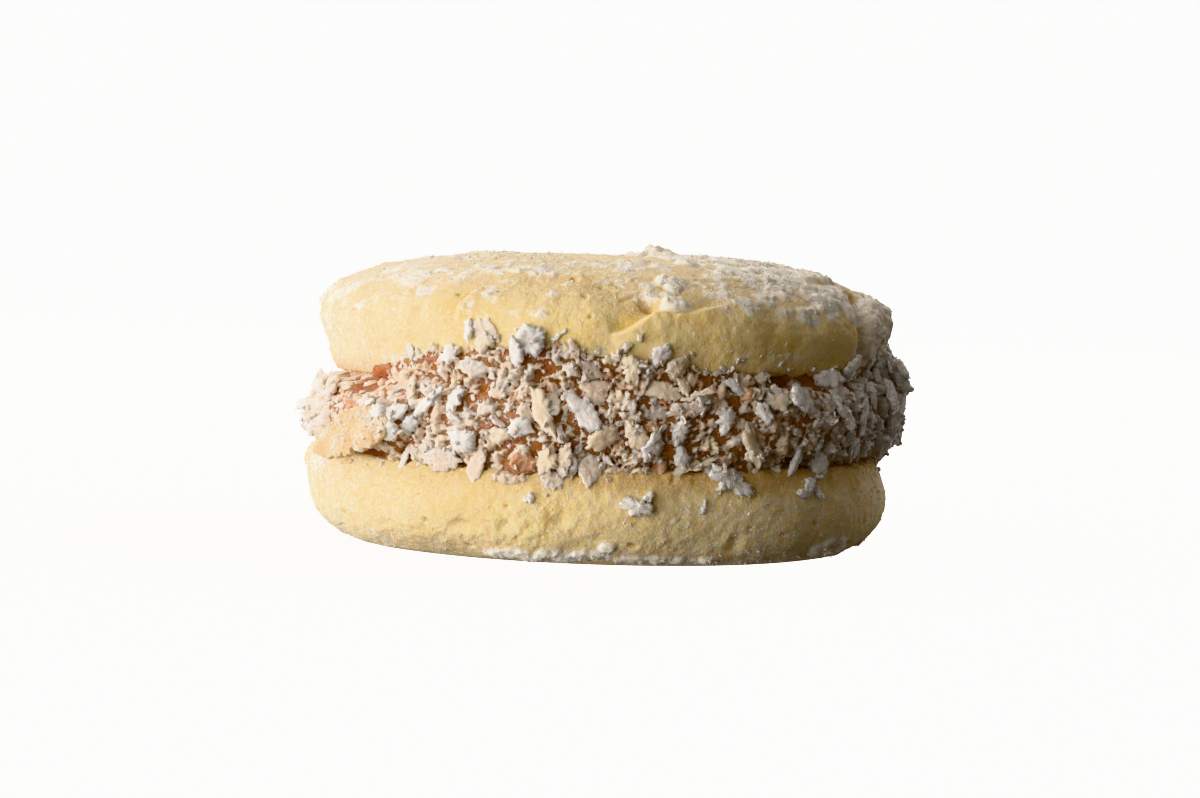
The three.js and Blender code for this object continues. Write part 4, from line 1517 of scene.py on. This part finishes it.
class Shader:
    """One material's nodes."""

    def __init__(self, name):
        self.material = bpy.data.materials.new(name)
        self.material.use_nodes = True
        self.tree = self.material.node_tree
        self.surface = self.tree.nodes["Principled BSDF"]
        self.place = self.node("ShaderNodeTexCoord").outputs["Object"]

    def node(self, kind, inputs=None, **settings):
        made = self.tree.nodes.new(kind)
        for key, value in settings.items():
            setattr(made, key, value)
        for key, value in (inputs or {}).items():
            self.plug(made.inputs[key], value)
        return made

    def plug(self, socket, value):
        if isinstance(value, bpy.types.NodeSocket):
            self.tree.links.new(value, socket)
        else:
            socket.default_value = value

    def set(self, **inputs):
        for key, value in inputs.items():
            self.plug(self.surface.inputs[key.replace("_", " ")], value)

    def value_of(self, attribute):
        return self.node("ShaderNodeAttribute", attribute_name=attribute).outputs["Fac"]

    def noise(self, size, detail, roughness, shift=0.0):
        """Noise of 0 to 1 with features of a size in millimetres."""
        moved = self.node("ShaderNodeVectorMath", {0: self.place, 1: (shift, shift, shift)}, operation="ADD")
        inputs = {"Scale": 1 / (size * MM), "Detail": detail, "Roughness": roughness}
        return self.node("ShaderNodeTexNoise", {"Vector": moved.outputs[0], **inputs}).outputs["Fac"]

    def specks(self, size):
        """Distance to the nearest of many points that lie a size in millimetres apart: 0 at a point."""
        inputs = {"Vector": self.place, "Scale": 1 / (size * MM)}
        return self.node("ShaderNodeTexVoronoi", inputs).outputs["Distance"]

    def span(self, value, low, high, to_low=0.0, to_high=1.0):
        """A value, mapped from one span to another and held within it."""
        inputs = {"Value": value, "From Min": low, "From Max": high, "To Min": to_low, "To Max": to_high}
        return self.node("ShaderNodeMapRange", inputs, interpolation_type="SMOOTHSTEP").outputs["Result"]

    def math(self, operation, a, b):
        return self.node("ShaderNodeMath", {0: a, 1: b}, operation=operation).outputs[0]

    def blend(self, share, a, b):
        """A colour between two. The sockets are those that the node has for colours."""
        return self.node("ShaderNodeMix", {0: share, 6: a, 7: b}, data_type="RGBA").outputs[2]

    def bump(self, height, distance):
        """A bump whose height of 1 stands that many millimetres out."""
        return self.node("ShaderNodeBump", {"Height": height, "Distance": distance * MM}).outputs["Normal"]


def colour(red, green, blue):
    return (red, green, blue, 1.0)


DUST_WHITE = colour(0.92, 0.85, 0.75)
FROST = colour(0.85, 0.82, 0.785)
CRUMB_PALE = colour(0.91, 0.725, 0.39)
CRUMB_DEEP = colour(0.87, 0.61, 0.17)
CRUMB_TAN = colour(0.74, 0.51, 0.22)
CRUMB_BAKED = colour(0.76, 0.55, 0.29)
# Darker golden crumb: partly caramel stain, partly painted shade next to the filling.
CRUMB_STAIN_AND_SHADE = colour(0.66, 0.44, 0.19)
CRUST_PALE = colour(0.80, 0.61, 0.37)
CRUST_TOASTED = colour(0.68, 0.45, 0.23)
CARAMEL_DARK = colour(0.34, 0.105, 0.035)
CARAMEL_LIGHT = colour(0.44, 0.17, 0.055)
SUGARED_CARAMEL = colour(0.72, 0.53, 0.41)
COCONUT_CLEAR = colour(0.56, 0.31, 0.18)
COCONUT_PALE = colour(0.76, 0.59, 0.46)
COCONUT_CREAM = colour(0.80, 0.67, 0.50)
COCONUT_WHITE = colour(0.69, 0.61, 0.54)
POWDER_DULL = colour(0.80, 0.73, 0.64)
POWDER_BRIGHT = colour(0.90, 0.84, 0.76)


def biscuit_material():
    """Pale baked cornflour crumb: deeper yellow in its hollows as painted shade, tan in patches, darker golden
    near the filling as caramel stain and painted shade, with white dust on it.
    """
    shader = Shader("biscuit")
    dust = shader.value_of("dust")
    cloud = shader.span(shader.noise(3.5, 4.0, 0.6), 0.35, 0.7, 0.0, 0.4)
    crumb = shader.blend(cloud, CRUMB_PALE, CRUMB_DEEP)
    # Painted shade in the hollows: a deeper yellow where light scatters into them.
    crumb = shader.blend(shader.span(shader.value_of("hollow"), 0.1, 0.9), crumb, CRUMB_DEEP)
    crumb = shader.blend(shader.span(shader.noise(1.4, 3.0, 0.6, 0.1), 0.64, 0.8, 0.0, 0.2), crumb, CRUMB_TAN)
    crumb = shader.blend(shader.value_of("baked"), crumb, CRUMB_BAKED)
    # Caramel stain and painted shade where the dough meets the filling.
    crumb = shader.blend(shader.value_of("stain_and_shade"), crumb, CRUMB_STAIN_AND_SHADE)
    grain = shader.noise(0.22, 2.0, 0.6, 0.2)
    sand = shader.noise(0.5, 3.0, 0.65, 0.3)
    sugar = shader.span(shader.specks(0.32), 0.05, 0.6, 1.0, 0.0)
    crumb = shader.blend(shader.span(grain, 0.35, 0.75, 0.0, 0.14), crumb, CRUMB_DEEP)
    crumb = shader.blend(shader.math("MULTIPLY", sugar, 0.3), crumb, DUST_WHITE)
    share = shader.math("ADD", dust, shader.span(grain, 0.3, 0.7, -0.25, 0.25))
    share = shader.math("ADD", share, shader.span(sand, 0.3, 0.7, -0.2, 0.2))
    powder = shader.span(share, 0.15, 1.0, 0.0, 0.95)
    specks = shader.span(shader.specks(0.3), 0.12, 0.26, 0.75, 0.0)
    few = shader.span(shader.noise(0.7, 3.0, 0.65, 0.5), 0.42, 0.6)
    white = shader.math("MAXIMUM", powder, shader.math("MULTIPLY", specks, few))
    height = shader.math("ADD", shader.math("MULTIPLY", sugar, 0.35), grain)
    colours = shader.blend(white, crumb, DUST_WHITE)
    shader.set(Base_Color=colours, Roughness=shader.span(white, 0.0, 1.0, 0.75, 0.95))
    shader.set(Normal=shader.bump(height, 0.065), Specular_IOR_Level=0.3)
    shader.set(Subsurface_Weight=0.95, Subsurface_Radius=(1.0, 0.75, 0.45), Subsurface_Scale=0.5 * MM)
    return shader.material


def caramel_material():
    """Glossy milk caramel, with sugar and crumbs stirred into its skin."""
    shader = Shader("caramel")
    cloud = shader.noise(2.2, 3.0, 0.6)
    body = shader.blend(shader.span(cloud, 0.3, 0.7), CARAMEL_DARK, CARAMEL_LIGHT)
    specks = shader.span(shader.specks(0.3), 0.05, 0.4, 0.6, 0.0)
    patches = shader.span(shader.noise(1.1, 3.0, 0.6, 0.4), 0.4, 0.6)
    shader.set(Base_Color=shader.blend(shader.math("MULTIPLY", specks, patches), body, SUGARED_CARAMEL))
    wet = shader.span(shader.noise(1.0, 2.0, 0.5, 0.1), 0.35, 0.65, 0.16, 0.42)
    ripples = shader.noise(0.7, 3.0, 0.6, 0.2)
    grain = shader.noise(0.25, 2.0, 0.5, 0.3)
    height = shader.math("ADD", ripples, shader.math("MULTIPLY", grain, 0.35))
    shader.set(Roughness=wet, Normal=shader.bump(height, 0.3), IOR=1.47)
    shader.set(Subsurface_Weight=0.9, Subsurface_Radius=(1.0, 0.38, 0.1), Subsurface_Scale=2.2 * MM)
    return shader.material


def coconut_material(name, depth):
    """Grated coconut: clear, cream or white flesh by its tone, under a powdery frosting. Tone and frosting also
    carry painted shade in the crevices and painted light and shade round the coat.
    """
    shader = Shader(name)
    tone = shader.value_of("tone")
    flesh = shader.blend(shader.span(tone, 0.0, 0.3), COCONUT_CLEAR, COCONUT_PALE)
    flesh = shader.blend(shader.span(tone, 0.35, 0.6), flesh, COCONUT_CREAM)
    flesh = shader.blend(shader.span(tone, 0.65, 0.85), flesh, COCONUT_WHITE)
    grain = shader.noise(0.17, 3.0, 0.7)
    patches = shader.noise(0.6, 3.0, 0.6, 0.1)
    granules = shader.span(shader.specks(0.24), 0.05, 0.6, 1.0, 0.0)
    # The frosting value carries painted light and shade as well as frosting.
    share = shader.math("ADD", shader.value_of("frost_and_painted_light"), shader.span(grain, 0.25, 0.75, -0.4, 0.3))
    share = shader.math("ADD", share, shader.span(patches, 0.3, 0.7, -0.3, 0.2))
    share = shader.math("ADD", share, shader.math("MULTIPLY", granules, 0.35))
    white = shader.span(share, 0.2, 0.9)
    shader.set(Base_Color=shader.blend(white, flesh, FROST), Roughness=shader.span(white, 0.0, 1.0, 0.4, 0.9))
    height = shader.math("ADD", shader.math("MULTIPLY", granules, 0.5), grain)
    shader.set(Normal=shader.bump(height, 0.038), Specular_IOR_Level=0.4)
    shader.set(Subsurface_Weight=1.0, Subsurface_Radius=(0.95, 0.97, 1.0), Subsurface_Scale=depth * MM)
    return shader.material


def powder_material():
    """Loose grains of icing sugar and cornflour, too small for light to go far in."""
    shader = Shader("powder")
    shader.set(Base_Color=shader.blend(shader.noise(0.5, 2.0, 0.6), POWDER_DULL, POWDER_BRIGHT))
    shader.set(Roughness=0.9, Normal=shader.bump(shader.noise(0.1, 2.0, 0.6), 0.02), Specular_IOR_Level=0.35)
    return shader.material


def crust_material():
    """Toasted cream crust, deeper yellow in its pits as painted shade, frosted with dust in its middle."""
    shader = Shader("crust")
    toast = shader.span(shader.noise(1.6, 4.0, 0.6), 0.35, 0.7)
    crumb = shader.blend(toast, CRUST_PALE, CRUST_TOASTED)
    # Painted shade in the pits: a deeper yellow.
    crumb = shader.blend(shader.span(shader.value_of("hollow"), 0.1, 0.8), crumb, CRUMB_DEEP)
    grain = shader.noise(0.24, 3.0, 0.7, 0.2)
    share = shader.math("ADD", shader.value_of("dust"), shader.span(grain, 0.3, 0.7, -0.5, 0.5))
    shader.set(Base_Color=shader.blend(shader.span(share, 0.2, 0.8), crumb, DUST_WHITE), Roughness=0.9)
    shader.set(Normal=shader.bump(grain, 0.12), Specular_IOR_Level=0.3)
    shader.set(Subsurface_Weight=0.35, Subsurface_Radius=(1.0, 0.6, 0.3), Subsurface_Scale=1.0 * MM)
    return shader.material


# ---------------------------------------------------------------- the studio


def studio():
    """A pale floor that curves up into a backdrop all round. Only the camera sees it: it lights nothing."""
    radius, corner, tall = 0.9, 0.25, 0.9
    flat = radius - corner
    section = [(r, 0.0) for r in np.linspace(0.02, flat, 14)]
    for t in np.linspace(0.1, 1.57, 14):
        section.append((flat + corner * math.sin(t), corner - corner * math.cos(t)))
    section += [(radius, h) for h in np.linspace(corner * 1.1, tall, 6)]
    section += [(radius * math.cos(t), tall + radius * math.sin(t)) for t in np.linspace(0.1, 1.5, 12)]
    azimuths = np.arange(0, 360, 3.0)
    grid = np.stack([around(azimuths, r, z) for r, z in section])
    skin = Skin(grid[::-1] / MM)
    mesh = bpy.data.meshes.new("backdrop")
    mesh.from_pydata(skin.points() * MM, [], [f.tolist() for block in skin.faces() for f in block])
    mesh.shade_smooth()
    backdrop = bpy.data.objects.new("backdrop", mesh)
    bpy.context.scene.collection.objects.link(backdrop)
    for kind in ("diffuse", "glossy", "transmission", "volume_scatter", "shadow"):
        setattr(backdrop, "visible_" + kind, False)
    mesh.materials.append(backdrop_material())


def backdrop_material():
    """A white that glows, so that it stays bright in the picture."""
    shader = Shader("backdrop")
    shader.set(Base_Color=colour(0.85, 0.85, 0.85), Roughness=0.9, Specular_IOR_Level=0.0)
    glow = shader.node("ShaderNodeEmission", {"Color": colour(1, 1, 1), "Strength": BACKDROP_GLOW})
    both = shader.node("ShaderNodeAddShader", {0: shader.surface.outputs[0], 1: glow.outputs[0]})
    shader.plug(shader.tree.nodes["Material Output"].inputs["Surface"], both.outputs[0])
    return shader.material


# Lamps: degrees to the left of the camera, elevation, distance, width and height in metres, and watts.
LAMPS = {
    "front": (38.0, 12.0, 0.60, 0.50, 0.50, 2.6),
    "side": (74.0, -7.0, 0.60, 0.60, 0.50, 3.8),
    "high": (100.0, 38.0, 0.60, 0.60, 0.45, 2.4),
    "back": (180.0, 32.0, 0.60, 0.50, 0.30, 1.6),
    "right": (-140.0, 14.0, 0.60, 0.50, 0.50, 1.4),
}
LAMP_COLOUR = (1.0, 0.985, 0.96)
AMBIENT = 0.11
AMBIENT_COLOUR = colour(1.0, 0.86, 0.70)
BACKDROP_GLOW = 3.0


def lamp(name, left, elevation, distance, width, height, watts):
    light = bpy.data.lights.new(name, "AREA")
    light.shape = "RECTANGLE"
    light.size = width
    light.size_y = height
    light.energy = watts
    light.color = LAMP_COLOUR
    stand = bpy.data.objects.new(name, light)
    bpy.context.scene.collection.objects.link(stand)
    towards = Vector(outwards_at(FRONT - left)) * math.cos(math.radians(elevation))
    towards.z = math.sin(math.radians(elevation))
    stand.location = Vector(AIM * MM) + towards * distance
    stand.rotation_mode = "QUATERNION"
    stand.rotation_quaternion = towards.to_track_quat("Z", "Y")
    stand.visible_camera = False


def ambient_light():
    """Dim, slightly warm light from everywhere, dimmer from below."""
    world = bpy.data.worlds.new("ambient")
    bpy.context.scene.world = world
    world.use_nodes = True
    nodes, links = world.node_tree.nodes, world.node_tree.links
    direction = nodes.new("ShaderNodeTexCoord").outputs["Generated"]
    upwards = nodes.new("ShaderNodeSeparateXYZ")
    links.new(direction, upwards.inputs[0])
    strength = nodes.new("ShaderNodeMapRange")
    links.new(upwards.outputs["Z"], strength.inputs["Value"])
    spans = {"From Min": -0.6, "From Max": 0.8, "To Min": 0.6 * AMBIENT, "To Max": 1.2 * AMBIENT}
    for key, value in spans.items():
        strength.inputs[key].default_value = value
    background = nodes["Background"]
    background.inputs["Color"].default_value = AMBIENT_COLOUR
    links.new(strength.outputs["Result"], background.inputs["Strength"])


def camera():
    data = bpy.data.cameras.new("camera")
    data.sensor_width = SENSOR_WIDTH
    data.lens = SENSOR_WIDTH * PIXELS_PER_MM * CAMERA_DISTANCE / FRAME_WIDTH
    data.clip_start = 0.01
    data.clip_end = 10.0
    seat = bpy.data.objects.new("camera", data)
    bpy.context.scene.collection.objects.link(seat)
    axes = Matrix([CAMERA_RIGHT, CAMERA_UP, -CAMERA_FORWARDS]).transposed().to_4x4()
    seat.matrix_world = Matrix.Translation(Vector(CAMERA_PLACE * MM)) @ axes
    bpy.context.scene.camera = seat


def main():
    biscuit = biscuit_material()
    lower_skin, lower_dusting = lower_biscuit(biscuit)
    upper_skin, upper_dusting = upper_biscuit(biscuit)
    lower, upper = lower_skin.surface(1), upper_skin.surface(1)
    outline = SideMap.of_surfaces(node_surface("coconut_coat"))
    biscuits = SideMap.of_surfaces(lower, upper)
    filling = caramel(biscuits, outline, caramel_material())
    strip = crust_strip(crust_material())
    coat = Coat(SideMap.of_surfaces(lower, upper, filling), outline)
    frosted = coconut_material("coconut", 0.7)
    pressed_coconut(coat, frosted)
    coat.cover_with(strip)
    loose_coconut(coat, frosted, coconut_material("coconut_crumb", 0.2))
    dusted = [(lower_skin, lower_dusting, 3500), (upper_skin, upper_dusting, 6000)]
    loose_dust(dusted, powder_material())
    studio()
    for name, settings in LAMPS.items():
        lamp(name, *settings)
    ambient_light()
    camera()
    bpy.context.scene.view_settings.view_transform = "Khronos PBR Neutral"


main()
